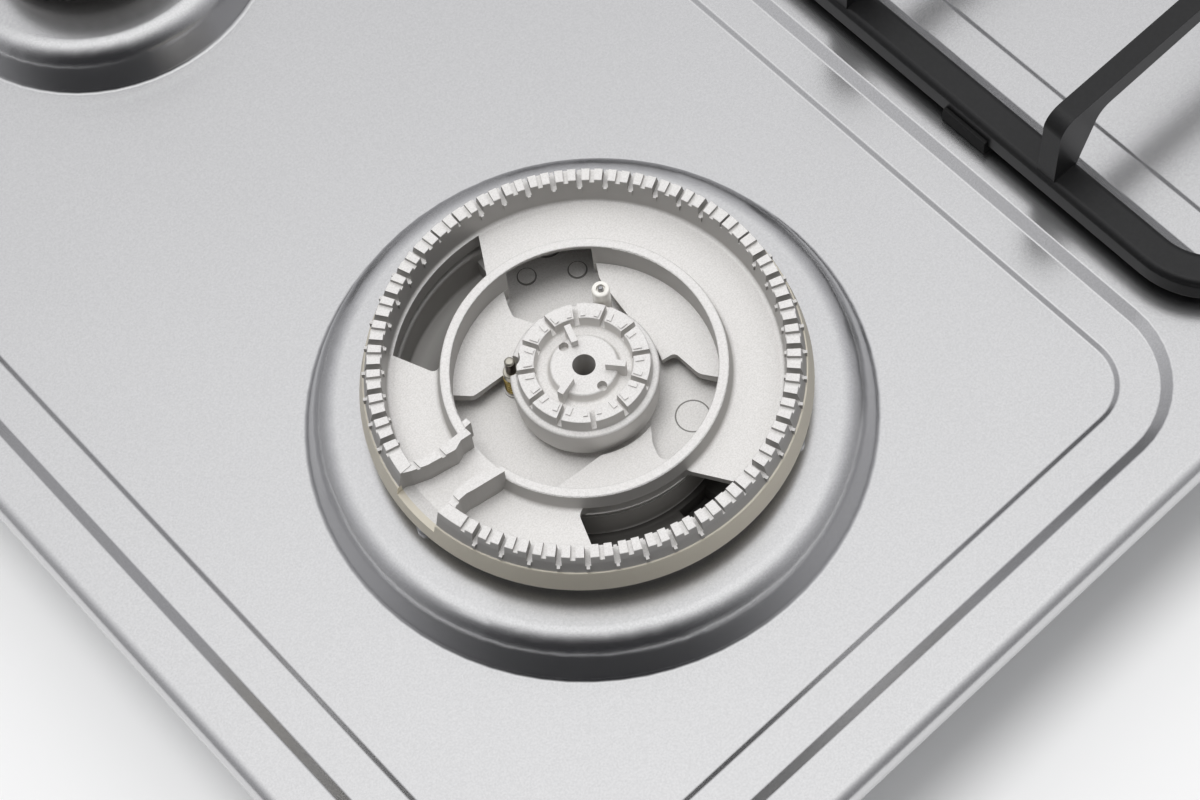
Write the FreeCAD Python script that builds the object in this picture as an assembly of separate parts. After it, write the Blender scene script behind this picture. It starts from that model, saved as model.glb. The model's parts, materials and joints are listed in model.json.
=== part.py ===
import FreeCAD, Part
import math
import os
from collections import namedtuple

from FreeCAD import Vector

os.makedirs("parts", exist_ok=True)

# Four-burner gas hob, in millimetres. X runs to the right, Y to the back, Z up.
# The origin is under the middle of the plate, level with the bottom of the tray.

# Top plate, pressed from one sheet
PLATE_WIDTH = 700.0
PLATE_DEPTH = 510.0
PLATE_CORNER = 14.0
SHEET = 0.8
EDGE_ROUND = 5.0
EDGE_DROP = 7.6
BORDER_TOP = 58.0
ZONE_STEP_LOW = 1.2
ZONE_STEP_HIGH = 2.4
STEP_LOW_RUN = 1.6
STEP_HIGH_RUN = 3.6
STEP_BAND = 12.0
STEP_ROUND = 1.2
ZONE_CORNER = 16.0
PRESS_SHIFT = 0.3
ZONE_FLOOR_WIDTH = 243.6
ZONE_FLOOR_DEPTH = 442.0
LEFT_ZONE_INSET = 155.3
ZONE_PITCH = 302.6
LEFT_ZONE_X = LEFT_ZONE_INSET - PLATE_WIDTH / 2
ZONE_FLOOR = BORDER_TOP - ZONE_STEP_LOW - ZONE_STEP_HIGH

# Burner places and boss sizes
WOK_SHIFT = 2.3
WOK_X = LEFT_ZONE_X - WOK_SHIFT
WOK_Y = -112.0
BACK_LEFT_SHIFT = 3.2
BACK_LEFT_X = LEFT_ZONE_X - BACK_LEFT_SHIFT
BACK_LEFT_Y = 133.4
RIGHT_BURNER_X = LEFT_ZONE_X + ZONE_PITCH
FRONT_RIGHT_Y = -112.0
BACK_RIGHT_Y = 118.0
WOK_BOSS_FOOT = 87.2
BOSS_WALL_LEAN = 5.2
BOSS_SHOULDER_ROUND = 9.0
BOSS_FOOT_ROUND = 1.6
BOSS_FOOT_RUN = 3.0
BOSS_TOP = 14.3

# Clearances, edge roundings, and how far a cutter passes a face or a joined piece sinks into its neighbour
SEAT_GAP = 0.3
RUN_CLEARANCE = 0.05
DROP_IN_CLEARANCE = 0.5
SCREW_CLEARANCE = 0.2
FINE_EDGE = 0.3
EDGE = 0.5
SOFT_EDGE = 0.8
FILLET = 1.0
BOWL_FILLET = 3.0
OVERRUN = 1.0
TINY = 1e-6

# Wok burner, heights above the zone floor
BAND_FOOT_R = 68.0
BAND_TOP_R = 66.0
BAND_FOOT = 21.75
BAND_TOP = 29.8
RING_OUT_R = 63.8
RING_WALL = 4.1
RING_TOP = 36.7
RING_TAPER = 0.4
RING_SLOPE = 1.65
TROUGH_FLOOR = 25.0
TROUGH_SKIN = 2.6
TROUGH_ROUND = 1.5
WELL_WALL_IN_R = 39.7
WELL_WALL = 3.0
WELL_WALL_TOP = 31.3
WELL_WALL_FOOT = 17.0
WELL_WALL_TAPER = 1.3
WELL_WALL_LEAN = 0.4
WALL_BITE = 0.2
SKIRT_WALL = 1.2
SKIRT_DROP = 3.2
COLLAR_WALL = 1.4
WEB_IN_R = 23.6
WEB_SKIN = 2.0
WEB_RISE = 1.6

# Windows in the sloping floor of the well, in plan about the burner's axis: x, y and corner radius
WEB_POCKET = ((18.0, 4.0), (24.4, 7.6, 1.5), (26.4, 23.0, 6.0), (31.4, 31.2), (34.0, 44.0),
              (4.4, 44.0), (0.3, 35.7, 3.0), (-1.0, 32.0, 2.0), (2.4, 26.0, 1.0), (4.0, 18.0))
WEB_RIGHT = ((17.0, -6.0), (21.2, -9.8, 1.0), (25.8, -11.0, 2.0), (25.9, -21.4, 5.0), (29.0, -26.6, 3.0),
             (40.0, -30.0), (34.0, -44.0), (5.0, -44.0), (5.0, -39.6, 1.0), (-1.8, -34.0, 3.0),
             (0.6, -28.2, 4.0), (4.6, -23.0), (4.0, -16.0))
WEB_LEFT = ((-8.0, 16.0), (-13.0, 19.6, 1.0), (-27.4, 20.2, 3.0), (-32.4, 25.0, 2.0), (-40.0, 26.0),
            (-46.0, 0.0), (-42.0, -20.0), (-28.0, -19.4, 2.0), (-12.1, -20.2, 1.0), (-8.0, -16.0))

# Flame ports of the wok ring
PORT_COUNT = 48
PORT_WIDTH = 1.8
PORT_DEPTH = 4.0
SLOT_WIDTH = 1.5
SLOT_DEPTH = 1.4
PORT_RIB_WIDTH = 1.0
PORT_RIB_PROUD = 0.3
PORT_RIB_DROP = 2.2
QUIET_SIDES = (0.0, 90.0, -90.0)
QUIET_HALF_ANGLE = 8.0
QUIET_PORT_WIDTH = 0.75
QUIET_PORT_DEPTH = 2.6

# Openings in the trough floor, and the transfer gap that points to the left
KIDNEY_IN_R = 43.2
KIDNEY_OUT_ANGLES = (81.6, 129.5)
KIDNEY_IN_ANGLES = (90.5, 136.0)
KIDNEY_ROUND = 2.5
GAP_FLOOR = 26.8
GAP_WALL_TOP = 36.4
GAP_BACK = 8.9
GAP_FRONT = -7.7
GAP_SLOT_DEPTH = 0.9

# Wavy walls beside the transfer gap, in plan about the burner's axis: x, y and corner radius
GAP_WALL_BACK = ((-62.8, 8.9), (-60.3, 7.5, 3.0), (-55.6, 5.6, 3.0), (-49.6, 4.3, 3.0), (-46.6, 3.6, 1.5),
                 (-43.6, 4.8, 1.5), (-40.0, 4.3), (-40.0, 6.5), (-42.2, 7.0, 1.5), (-49.9, 7.3, 3.0),
                 (-55.6, 8.5, 2.0), (-59.4, 10.5), (-61.6, 12.0))
GAP_WALL_FRONT = ((-62.8, -7.7), (-58.0, -7.4, 2.0), (-55.0, -6.0, 2.0), (-50.4, -6.1, 3.0), (-46.1, -7.1, 3.0),
                  (-43.7, -8.8, 1.5), (-40.8, -9.8), (-41.0, -11.4), (-47.0, -10.3, 3.0), (-51.0, -9.6, 3.0),
                  (-53.4, -9.0, 1.5), (-56.1, -9.0, 1.5), (-58.6, -10.0, 0.8), (-61.4, -11.6))
GAP_SLOTS = ((-58.6, -57.7, 8.0, 3.0), (-51.0, -49.7, 6.0, 3.0), (-57.6, -56.6, -8.4, 3.0))
WELL_TAB = (-40.2, -36.4, 9.4, 11.4)
WELL_TAB_FOOT = 22.0
WELL_TAB_TOP = 30.9

# Centre crown of the wok burner
CROWN_R = 22.3
CROWN_FOOT = 16.2
CROWN_SHOULDER = 27.7
CROWN_SHOULDER_RISE = 0.4
CROWN_RING_OUT_R = 19.8
CROWN_RING_IN_R = 14.7
CROWN_RING_TOP = 33.0
CROWN_PORTS = 12
CROWN_TURN = -4.0
CROWN_PORT_DEPTH = 4.0
CROWN_PORT_WIDTH = 1.5
CROWN_TAB_GAP = 0.6
CROWN_TAB_WIDTH = 1.4
CROWN_TAB_LENGTH = 2.6
CROWN_TAB_RISE = 0.5
CROWN_TAB_INSET = 0.4
CROWN_BOWL = 28.2
CROWN_HUB_R = 10.0
CROWN_HUB_TOP = 31.2
CROWN_HUB_LEAN = 1.0
CROWN_BORE_R = 3.5
CROWN_SPIGOT_R = 8.0
CROWN_SPIGOT_FOOT = 10.0
CROWN_FIN_ANGLES = (70.0, -50.0, -165.0)
CROWN_FIN_IN_R = 6.6
CROWN_FIN_OUT_R = 12.6
CROWN_FIN_WIDTH = 2.0
CROWN_FIN_TOP = 34.6
CROWN_DIMPLE_R = 1.5
CROWN_DIMPLE_DEPTH = 3.0
CROWN_DIMPLES = ((8.6, 92.0), (8.8, -95.0))

# Wok cup
CUP_WELL_FLOOR = 12.0
CUP_CHANNEL_FLOOR = 4.0
CUP_LEDGE_R = 57.8
CUP_LEDGE = 16.5
CUP_BOTTOM = -6.0
CUP_SKIN = 2.6
CUP_SIDE = 1.0
CUP_RIM = 1.6
CUP_CHANNEL_ROUND = 2.0
CUP_FLANGE_OVERLAP = 6.0
HUB_WALL = 3.7
INTAKE_ANGLES = (-96.0, -82.0)
INTAKE_IN_R = 44.5
INTAKE_OUT_R = 56.0
BAY_ANGLES = (44.5, 84.0)
BAY_OUT_R = 58.5
BAY_ROOF = 30.3
BAY_SKIN = 1.2
BAY_STUD_PROUD = 0.5
BAY_STUDS = ((44.8, 72.6, 2.7), (42.5, 52.0, 2.7), (54.0, 61.5, 5.0))

# Igniter and thermocouple
IGNITER_R = 2.75
IGNITER_TOP = 31.0
IGNITER_ROUND = 0.6
IGNITER_CUP_R = 1.4
IGNITER_CUP_DEPTH = 1.2
IGNITER_PLACE = (25.9, 36.5)
ELECTRODE_R = 0.8
ELECTRODE_PROUD = 0.6
ELECTRODE_ROUND = 0.4
THERMO_R = 1.6
THERMO_TOP = 29.5
THERMO_ROUND = 0.9
WOK_THERMO_TOP = 31.0
THERMO_PLACE = (22.3, 132.0)
THERMO_NOTCH_R = 3.4
THERMO_COLLAR_R = 2.6
THERMO_COLLAR = 3.0
SPRING_WIRE_R = 0.4
SPRING_R = 2.4
SPRING_TURNS = 5
SPRING_PITCH = 1.5
GUIDE_WALL = 1.5
GUIDE_RISE = 1.0
GUIDE_DROP = 6.0
PROBE_DROP = 2.0

# Ordinary burners: name, place, spreader radius and boss foot radius
Burner = namedtuple("Burner", "name x y spread_r foot_r")
BURNERS = (
    Burner("back_left", BACK_LEFT_X, BACK_LEFT_Y, 36.0, 59.5),
    Burner("back_right", RIGHT_BURNER_X, BACK_RIGHT_Y, 49.0, 72.0),
    Burner("front_right", RIGHT_BURNER_X, FRONT_RIGHT_Y, 26.0, 50.0),
)
SPREADER_FOOT = 19.0
SPREADER_TOP = 31.0
SPREADER_LIP = 2.0
SPREADER_PORT_PITCH = 6.4
SPREADER_PORT_WIDTH = 1.8
SPREADER_PORT_DEPTH = 3.6
CAP_SKIN = 4.4
CAP_OVERHANG = 1.6
CAP_ROUND = 2.0
CAP_CROWN = 0.6
CAP_SHOULDER = 7.0
CAP_CROWN_ROUND = 8.0
NECK_INSET = 6.0
NECK_SKIN = 2.4
PROBE_STEP = 4.6
PROBE_ANGLES = (36.5, 140.0)
EAR_WIDTH = 9.0
EAR_DROP = 1.2

# Pan support of the right-hand zone
BAR_WIDTH = 11.6
BAR_HEIGHT = 9.0
BAR_ROUND = 2.4
BAR_LIFT = 3.0
BAR_STEP = 10.8
BAR_STEP_Y = 1.0
BAR_CORNER = 24.0
MIDDLE_BAR_Y = 3.0
FINGER_SPREAD = 45.0
FINGER_TIP = 34.0
FINGER_WIDTH = 7.0
FINGER_DEPTH = 9.0
FINGER_TIP_DEPTH = 6.3
FINGER_HEEL_INSET = 1.0
FINGER_TOP = 46.0
FINGER_ROOT = 13.0
FINGER_ROUND = 3.0
FOOT_LENGTH = 18.0
FOOT_LIP = 1.4
FOOT_CLIMB = 3.2
FEET_Y = (-125.0, 131.0)

# Controls
CONTROL_INSET = 57.0
KNOB_FIRST_Y = -145.0
KNOB_PITCH = 70.0
KNOB_COUNT = 4
KNOB_R = 20.0
KNOB_TOP_R = 17.5
KNOB_HEIGHT = 21.0
KNOB_SKIRT = 6.0
KNOB_GRIP_HALF = 6.0
KNOB_TRAVEL = 3.0
KNOB_SEAL_HEIGHT = 1.6
KNOB_SEAL_PROUD = 1.5
KNOB_SKIRT_ROUND = 1.5
KNOB_RIM_ROUND = 1.4
POINTER_WIDTH = 1.2
POINTER_DEPTH = 0.6
POINTER_LENGTH = 10.7
POINTER_END = 1.0
SPINDLE_R = 4.0
SPINDLE_FLAT = 2.6
SPINDLE_DEPTH = 12.0
PUSH_ROD_R = 2.0
PUSH_ROD_LENGTH = 10.0

# Taps, gas rail and pipes
TAP_SIZE = 26.0
TAP_CORNER = 3.0
TAP_FOOT = 10.0
TAP_TOP = 40.0
TAP_NECK_R = 8.0
TAP_NOZZLE_R = 5.5
TAP_NOZZLE = 8.0
RAIL_R = 8.0
RAIL_WALL = 1.5
RAIL_Z = 24.0
RAIL_OFFSET = 21.0
RAIL_LEAD = 27.0
RAIL_CUFF = 1.7
RAIL_STOP = 2.0
PIPE_R = 4.0
PIPE_WALL = 0.8
PIPE_LOW_Z = 20.0
PIPE_HIGH_Z = 32.0
PIPE_BEND = 16.0
FRONT_RIGHT_TAP = 1
WOK_TAP = 2
BACK_LEFT_TAP = 3
BACK_RIGHT_TAP = 4
WOK_PIPE_X = 20.0
BACK_LEFT_PIPE_X = -60.0
RIGHT_PIPE_X = 205.0
INLET_R = 10.48
INLET_RELIEF_R = 9.9
INLET_RELIEF = 0.4
INLET_LENGTH = 14.0
INLET_SOCKET = 30.0
INLET_SOCKET_R = 11.0
INLET_BORE_R = 6.0
INLET_FLANGE_R = 12.0
INLET_FLANGE = 4.0

# Jets in the burner cups
JET_R = 3.0
JET_BORE_R = 0.8
JET_LENGTH = 7.0
HOLDER_WIDTH = 16.0
HOLDER_LENGTH = 18.0
HOLDER_ROOF = 7.0
JET_OUTLET_R = 2.2
PIPE_SOCKET = 6.0
WOK_HOLDER_R = 52.0
BURNER_HOLDER_R = 22.0

# Tray, posts, clamps and seal
TRAY_INSET = 15.0
TRAY_CORNER = 8.0
TRAY_ROUND = 2.0
POST_R = 5.0
POST_BORE_R = 2.1
DIMPLE_R = 8.0
DIMPLE_RISE = 3.2
TRAY_SCREW_R = 2.0
TRAY_SCREW_HEAD_R = 4.5
TRAY_SCREW_HEAD = 2.4
TRAY_SCREW_LENGTH = 12.0
MIDDLE_POST_INSET = 35.0
RIGHT_POST_INSET = 50.0
FRONT_POST_INSET = 25.0
SEAL_WIDTH = 6.0
SEAL_INSET = 6.5
WORKTOP_GAP = 0.4
CLAMP_WIDTH = 22.0
CLAMP_SKIN = 2.0
CLAMP_FOOT = 8.0
CLAMP_HEIGHT = 30.0
CLAMP_REACH = 11.0
CLAMP_SCREW_UP = 21.0
CLAMP_SCREW_R = 2.0
CLAMP_SCREW_HEAD_R = 4.0
CLAMP_SCREW_HEAD = 2.2
CLAMP_SCREW_LENGTH = 10.0
CLAMP_INSET = 60.0
SPARK_SIZE = (62.0, 34.0, 26.0)
SPARK_CORNER = 3.0
SPARK_INSET = (120.0, 35.0)
SPARK_PIN_R = 2.0
SPARK_PIN = 6.0
SPARK_PINS = 5

# Cup screws
CUP_SCREW_R = 1.6
CUP_SCREW_HEAD_R = 2.6
CUP_SCREW_STEP = 2.6
CUP_SCREW_HEAD = 2.0
CUP_SCREW_ANGLES = (60.0, 180.0, 300.0)

# Sizes that follow from those above
RING_IN_R = RING_OUT_R - RING_WALL
SKIRT_OUT_R = RING_IN_R
KIDNEY_OUT_R = SKIRT_OUT_R - SKIRT_WALL - WALL_BITE
COLLAR_IN_R = SKIRT_OUT_R + DROP_IN_CLEARANCE
COLLAR_OUT_R = COLLAR_IN_R + COLLAR_WALL
WOK_HOLE_R = COLLAR_OUT_R + DROP_IN_CLEARANCE
WELL_WALL_OUT_R = WELL_WALL_IN_R + WELL_WALL
ZONE_STEP_OUT = ZONE_FLOOR_WIDTH / 2 + STEP_LOW_RUN + STEP_BAND + STEP_HIGH_RUN
BAR_X = ZONE_STEP_OUT + BAR_STEP
BAR_Y = ZONE_FLOOR_DEPTH / 2 + BAR_STEP_Y
BAR_FOOT = BORDER_TOP + BAR_LIFT
BAR_TOP = BAR_FOOT + BAR_HEIGHT
SEAL_TOP = BORDER_TOP + KNOB_SEAL_HEIGHT
KNOB_FOOT = SEAL_TOP + KNOB_TRAVEL + SEAT_GAP
SPINDLE_FOOT = TAP_TOP - SPINDLE_DEPTH
SPINDLE_TOP = KNOB_FOOT + SPINDLE_DEPTH
SPINDLE_HOLE_R = SPINDLE_R + 2 * DROP_IN_CLEARANCE
TRAY_HALF_X = PLATE_WIDTH / 2 - TRAY_INSET
TRAY_HALF_Y = PLATE_DEPTH / 2 - TRAY_INSET
MIDDLE_POST_X = (LEFT_ZONE_X + RIGHT_BURNER_X) / 2
RIGHT_POST_X = TRAY_HALF_X - RIGHT_POST_INSET
POST_PLACES = (
    (MIDDLE_POST_X, MIDDLE_POST_INSET - TRAY_HALF_Y),
    (MIDDLE_POST_X, TRAY_HALF_Y - MIDDLE_POST_INSET),
    (RIGHT_POST_X, FRONT_POST_INSET - TRAY_HALF_Y),
    (RIGHT_POST_X, TRAY_HALF_Y - RIGHT_POST_INSET),
)
CLAMP_X = TRAY_HALF_X - CLAMP_INSET
SPARK_PLACE = (TRAY_HALF_X - SPARK_INSET[0], TRAY_HALF_Y - SPARK_INSET[1])
CONTROL_X = PLATE_WIDTH / 2 - CONTROL_INSET
RAIL_X = CONTROL_X + RAIL_OFFSET
RAIL_FRONT_Y = KNOB_FIRST_Y - RAIL_LEAD
RAIL_END_Y = TRAY_HALF_Y - SHEET - INLET_FLANGE - RAIL_STOP
PIPE_START_X = CONTROL_X - TAP_SIZE / 2 - TAP_NOZZLE + PIPE_SOCKET
WORKTOP = BORDER_TOP - EDGE_DROP - WORKTOP_GAP
CLAMP_SCREW_Z = CLAMP_FOOT + CLAMP_SCREW_UP
PROBE_FOOT = CUP_BOTTOM - GUIDE_DROP - PROBE_DROP
SPRING_FOOT = CUP_WELL_FLOOR + GUIDE_RISE + SPRING_WIRE_R + RUN_CLEARANCE
THERMO_COLLAR_FOOT = SPRING_FOOT + SPRING_TURNS * SPRING_PITCH + SPRING_WIRE_R + RUN_CLEARANCE

ALONG_X = Vector(1, 0, 0)
ALONG_Y = Vector(0, 1, 0)
UP = Vector(0, 0, 1)


# Shape helpers
def rounded_wire(points, lift):
    """Closed wire through (a, b) or (a, b, radius) points, its corners rounded by tangent arcs."""
    corners = [lift(p[0], p[1]) for p in points]
    radii = [p[2] if len(p) > 2 else 0.0 for p in points]
    count = len(corners)
    starts, ends, middles = [], [], []
    for i in range(count):
        here = corners[i]
        back = (corners[i - 1] - here).normalize()
        ahead = (corners[(i + 1) % count] - here).normalize()
        half = back.getAngle(ahead) / 2
        reach = radii[i] / math.tan(half) if radii[i] else 0.0
        starts.append(here + back * reach)
        ends.append(here + ahead * reach)
        inward = (back + ahead).normalize() if radii[i] else Vector()
        middles.append(here + inward * (radii[i] / math.sin(half) - radii[i] if radii[i] else 0.0))
    edges = []
    for i in range(count):
        if radii[i]:
            edges.append(Part.Arc(starts[i], middles[i], ends[i]).toShape())
        following = starts[(i + 1) % count]
        if (following - ends[i]).Length > TINY:
            edges.append(Part.LineSegment(ends[i], following).toShape())
    return Part.Wire(edges)


def section(points):
    """Face in the XZ plane, from (radius, height) points."""
    return Part.Face(rounded_wire(points, lambda a, b: Vector(a, 0, b)))


def turned(points, angle=360.0):
    """Solid of revolution about Z."""
    return section(points).revolve(Vector(), UP, angle)


def slab(points, low, high):
    """Plan outline in XY, raised from one height to another."""
    face = Part.Face(rounded_wire(points, lambda a, b: Vector(a, b, low)))
    return face.extrude(Vector(0, 0, high - low))


def block(x0, x1, y0, y1, z0, z1):
    return Part.makeBox(x1 - x0, y1 - y0, z1 - z0, Vector(x0, y0, z0))


def rod(radius, start, direction, length):
    return Part.makeCylinder(radius, length, Vector(*start), direction)


def moved(shape, x, y, z=0.0):
    copy = shape.copy()
    copy.translate(Vector(x, y, z))
    return copy


def turned_to(shape, angle):
    copy = shape.copy()
    copy.rotate(Vector(), UP, angle)
    return copy


def round_place(radius, angle):
    return radius * math.cos(math.radians(angle)), radius * math.sin(math.radians(angle))


def joined(shapes):
    return shapes[0].multiFuse(shapes[1:]).removeSplitter()


def around(points, half_x, half_y, corner):
    """Pieces of a rounded rectangular ring: points are (distance from corner centre, height)."""
    face = section(points)
    run_x = half_x - corner
    run_y = half_y - corner
    pieces = []
    for quarter in range(4):
        along, across = (run_x, run_y) if quarter % 2 else (run_y, run_x)
        side = moved(face, across, -along).extrude(Vector(0, 2 * along, 0))
        bend = moved(face.revolve(Vector(), UP, 90.0), across, along)
        pieces += [turned_to(side, 90.0 * quarter), turned_to(bend, 90.0 * quarter)]
    return pieces


def dish(points, half_x, half_y, corner):
    """Rounded rectangle, filled in the middle, with one cross-section all round."""
    run_x = half_x - corner
    run_y = half_y - corner
    heights = [p[1] for p in points if p[0] == 0.0]
    middle = block(-run_x, run_x, -run_y, run_y, min(heights), max(heights))
    return joined([middle] + around(points, half_x, half_y, corner))


def sector(in_r, out_r, in_angles, out_angles, low, high):
    """Part of a ring whose two ends may be skewed."""
    a, b = [Vector(*round_place(in_r, t), low) for t in in_angles]
    c, d = [Vector(*round_place(out_r, t), low) for t in out_angles]
    inner = Vector(*round_place(in_r, sum(in_angles) / 2), low)
    outer = Vector(*round_place(out_r, sum(out_angles) / 2), low)
    wire = Part.Wire([
        Part.Arc(a, inner, b).toShape(),
        Part.LineSegment(b, d).toShape(),
        Part.Arc(d, outer, c).toShape(),
        Part.LineSegment(c, a).toShape(),
    ])
    return Part.Face(wire).extrude(Vector(0, 0, high - low))


def upright_edges(solid, reach):
    """Edges along Z that stand within a distance of the Z axis."""
    found = []
    for edge in solid.Edges:
        a, b = edge.Vertexes[0].Point, edge.Vertexes[-1].Point
        if abs(a.x - b.x) < TINY and abs(a.y - b.y) < TINY and math.hypot(a.x, a.y) < reach:
            found.append(edge)
    return found


def bent_tube(points, radius, wall, bend):
    """Tube along straight runs joined by tangent arcs."""
    places = [Vector(*p) for p in points]
    edges = []
    start = places[0]
    for i in range(1, len(places) - 1):
        back = (places[i - 1] - places[i]).normalize()
        ahead = (places[i + 1] - places[i]).normalize()
        half = back.getAngle(ahead) / 2
        reach = bend / math.tan(half)
        middle = places[i] + (back + ahead).normalize() * (bend / math.sin(half) - bend)
        edges.append(Part.LineSegment(start, places[i] + back * reach).toShape())
        edges.append(Part.Arc(places[i] + back * reach, middle, places[i] + ahead * reach).toShape())
        start = places[i] + ahead * reach
    edges.append(Part.LineSegment(start, places[-1]).toShape())
    path = Part.Wire(edges)
    aim = places[1] - places[0]
    solids = []
    for r in (radius, radius - wall):
        circle = Part.Wire(Part.makeCircle(r, places[0], aim))
        solids.append(path.makePipeShell([circle], True, True))
    return solids[0].cut(solids[1])


def export(name, shape):
    shape.exportStep("parts/" + name + ".step")
    print(name, len(shape.Solids), round(shape.Volume, 1), shape.isValid())


# Top plate
def boss_points(foot_r, inset):
    low = BORDER_TOP - EDGE_DROP - ZONE_FLOOR
    rim = foot_r + BOSS_FOOT_RUN
    return [
        (0.0, low),
        (rim, low),
        (rim, -inset),
        (foot_r - inset, -inset, BOSS_FOOT_ROUND + inset),
        (foot_r - BOSS_WALL_LEAN - inset, BOSS_TOP - inset, BOSS_SHOULDER_ROUND - inset),
        (0.0, BOSS_TOP - inset),
    ]


def zone_basin(inset):
    floor = ZONE_FLOOR - inset
    middle = floor + ZONE_STEP_LOW
    top = floor + ZONE_STEP_LOW + ZONE_STEP_HIGH
    low_foot = ZONE_CORNER + inset * PRESS_SHIFT
    low_top = low_foot + STEP_LOW_RUN
    high_foot = low_top + STEP_BAND
    high_top = high_foot + STEP_HIGH_RUN
    points = [
        (0.0, floor),
        (low_foot, floor, STEP_ROUND),
        (low_top, middle, STEP_ROUND),
        (high_foot, middle, STEP_ROUND),
        (high_top, top, STEP_ROUND),
        (high_top + 2 * STEP_ROUND, top),
        (high_top + 2 * STEP_ROUND, top + EDGE_DROP),
        (0.0, top + EDGE_DROP),
    ]
    half_x = ZONE_FLOOR_WIDTH / 2
    half_y = ZONE_FLOOR_DEPTH / 2
    return dish(points, half_x, half_y, ZONE_CORNER)


def plate_form(inset):
    """Everything below the pressed surface, shrunk by the sheet when inset is the sheet's thickness."""
    low = BORDER_TOP - EDGE_DROP
    top = BORDER_TOP - inset
    edge = PLATE_CORNER - inset
    points = [(0.0, low), (edge, low), (edge, top, EDGE_ROUND - inset), (0.0, top)]
    form = dish(points, PLATE_WIDTH / 2, PLATE_DEPTH / 2, PLATE_CORNER)
    basin = zone_basin(inset)
    for x in (LEFT_ZONE_X, RIGHT_BURNER_X):
        form = form.cut(moved(basin, x, 0.0))
    bosses = [moved(turned(boss_points(WOK_BOSS_FOOT, inset)), WOK_X, WOK_Y, ZONE_FLOOR)]
    for burner in BURNERS:
        bosses.append(moved(turned(boss_points(burner.foot_r, inset)), burner.x, burner.y, ZONE_FLOOR))
    return form.multiFuse(bosses)


def knob_places():
    return [KNOB_FIRST_Y + i * KNOB_PITCH for i in range(KNOB_COUNT)]


def plate_hole_r(spread_r):
    return spread_r - NECK_INSET + DROP_IN_CLEARANCE


def cup_screw_r(hole_r):
    return hole_r + CUP_SCREW_STEP


def make_top_plate():
    sheet = plate_form(0.0).cut(plate_form(SHEET))
    low = ZONE_FLOOR - SHEET
    high = ZONE_FLOOR + BOSS_TOP + SHEET
    holes = []
    places = [(WOK_X, WOK_Y, WOK_HOLE_R)]
    places += [(burner.x, burner.y, plate_hole_r(burner.spread_r)) for burner in BURNERS]
    for x, y, hole_r in places:
        holes.append(rod(hole_r, (x, y, low), UP, high - low))
        for angle in CUP_SCREW_ANGLES:
            dx, dy = round_place(cup_screw_r(hole_r), angle)
            radius = CUP_SCREW_R + SCREW_CLEARANCE
            holes.append(rod(radius, (x + dx, y + dy, low), UP, high - low))
    for burner in BURNERS:
        for place, bore in zip(probe_places(burner.spread_r), (IGNITER_R, THERMO_R)):
            dx, dy = round_place(*place)
            holes.append(rod(bore + SCREW_CLEARANCE, (burner.x + dx, burner.y + dy, low), UP, high - low))
    for y in knob_places():
        holes.append(rod(SPINDLE_HOLE_R, (CONTROL_X, y, BORDER_TOP - 2 * SHEET), UP, 3 * SHEET))
    return sheet.cut(Part.makeCompound(holes)).removeSplitter()


# Wok burner ring
def ring_slot(width, depth, ring_out, ring_in, top):
    """Radial cutter that opens one port through a ring wall, pointing along X."""
    past = PORT_RIB_PROUD + OVERRUN
    return block(ring_in - past, ring_out + past, -width / 2, width / 2, top - depth, top + OVERRUN)


def is_quiet(angle):
    """Ports are narrow where a pan-support finger stands over the flame."""
    return any(abs((angle - side + 180.0) % 360.0 - 180.0) < QUIET_HALF_ANGLE for side in QUIET_SIDES)


def is_in_gap(angle):
    half = math.degrees(math.asin(GAP_BACK / RING_OUT_R)) + 360.0 / PORT_COUNT / 2
    return abs(angle % 360.0 - 180.0) < half


def wok_ring_body():
    under = TROUGH_FLOOR - TROUGH_SKIN
    skirt_foot = BAND_FOOT - SKIRT_DROP
    return turned([
        (WELL_WALL_IN_R + WELL_WALL_LEAN, WELL_WALL_FOOT),
        (WELL_WALL_IN_R, WELL_WALL_TOP, EDGE),
        (WELL_WALL_OUT_R, WELL_WALL_TOP, EDGE),
        (WELL_WALL_OUT_R + WELL_WALL_TAPER, TROUGH_FLOOR, TROUGH_ROUND),
        (RING_IN_R - RING_TAPER, TROUGH_FLOOR, TROUGH_ROUND),
        (RING_IN_R, RING_TOP, FINE_EDGE),
        (RING_OUT_R, RING_TOP, FINE_EDGE),
        (RING_OUT_R + RING_SLOPE, BAND_TOP, FINE_EDGE),
        (BAND_TOP_R, BAND_TOP, FINE_EDGE),
        (BAND_FOOT_R, BAND_FOOT, EDGE),
        (SKIRT_OUT_R, BAND_FOOT),
        (SKIRT_OUT_R, skirt_foot),
        (SKIRT_OUT_R - SKIRT_WALL, skirt_foot),
        (SKIRT_OUT_R - SKIRT_WALL, under),
        (WELL_WALL_OUT_R + WELL_WALL_TAPER, under),
        (WELL_WALL_OUT_R, WELL_WALL_FOOT),
    ])


def port_ribs():
    """Small drips under the wide ports, on the outer and inner faces of the ring wall."""
    top = RING_TOP - PORT_DEPTH
    half = PORT_RIB_WIDTH / 2
    foot = top - PORT_RIB_DROP
    over = top + OVERRUN
    out_r = RING_OUT_R + RING_SLOPE + PORT_RIB_PROUD
    in_r = RING_IN_R - RING_TAPER - PORT_RIB_PROUD
    outer = block(RING_OUT_R - OVERRUN, out_r, -half, half, foot, over)
    inner = block(in_r, RING_IN_R + OVERRUN, -half, half, foot, over)
    return [outer, inner]


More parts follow.
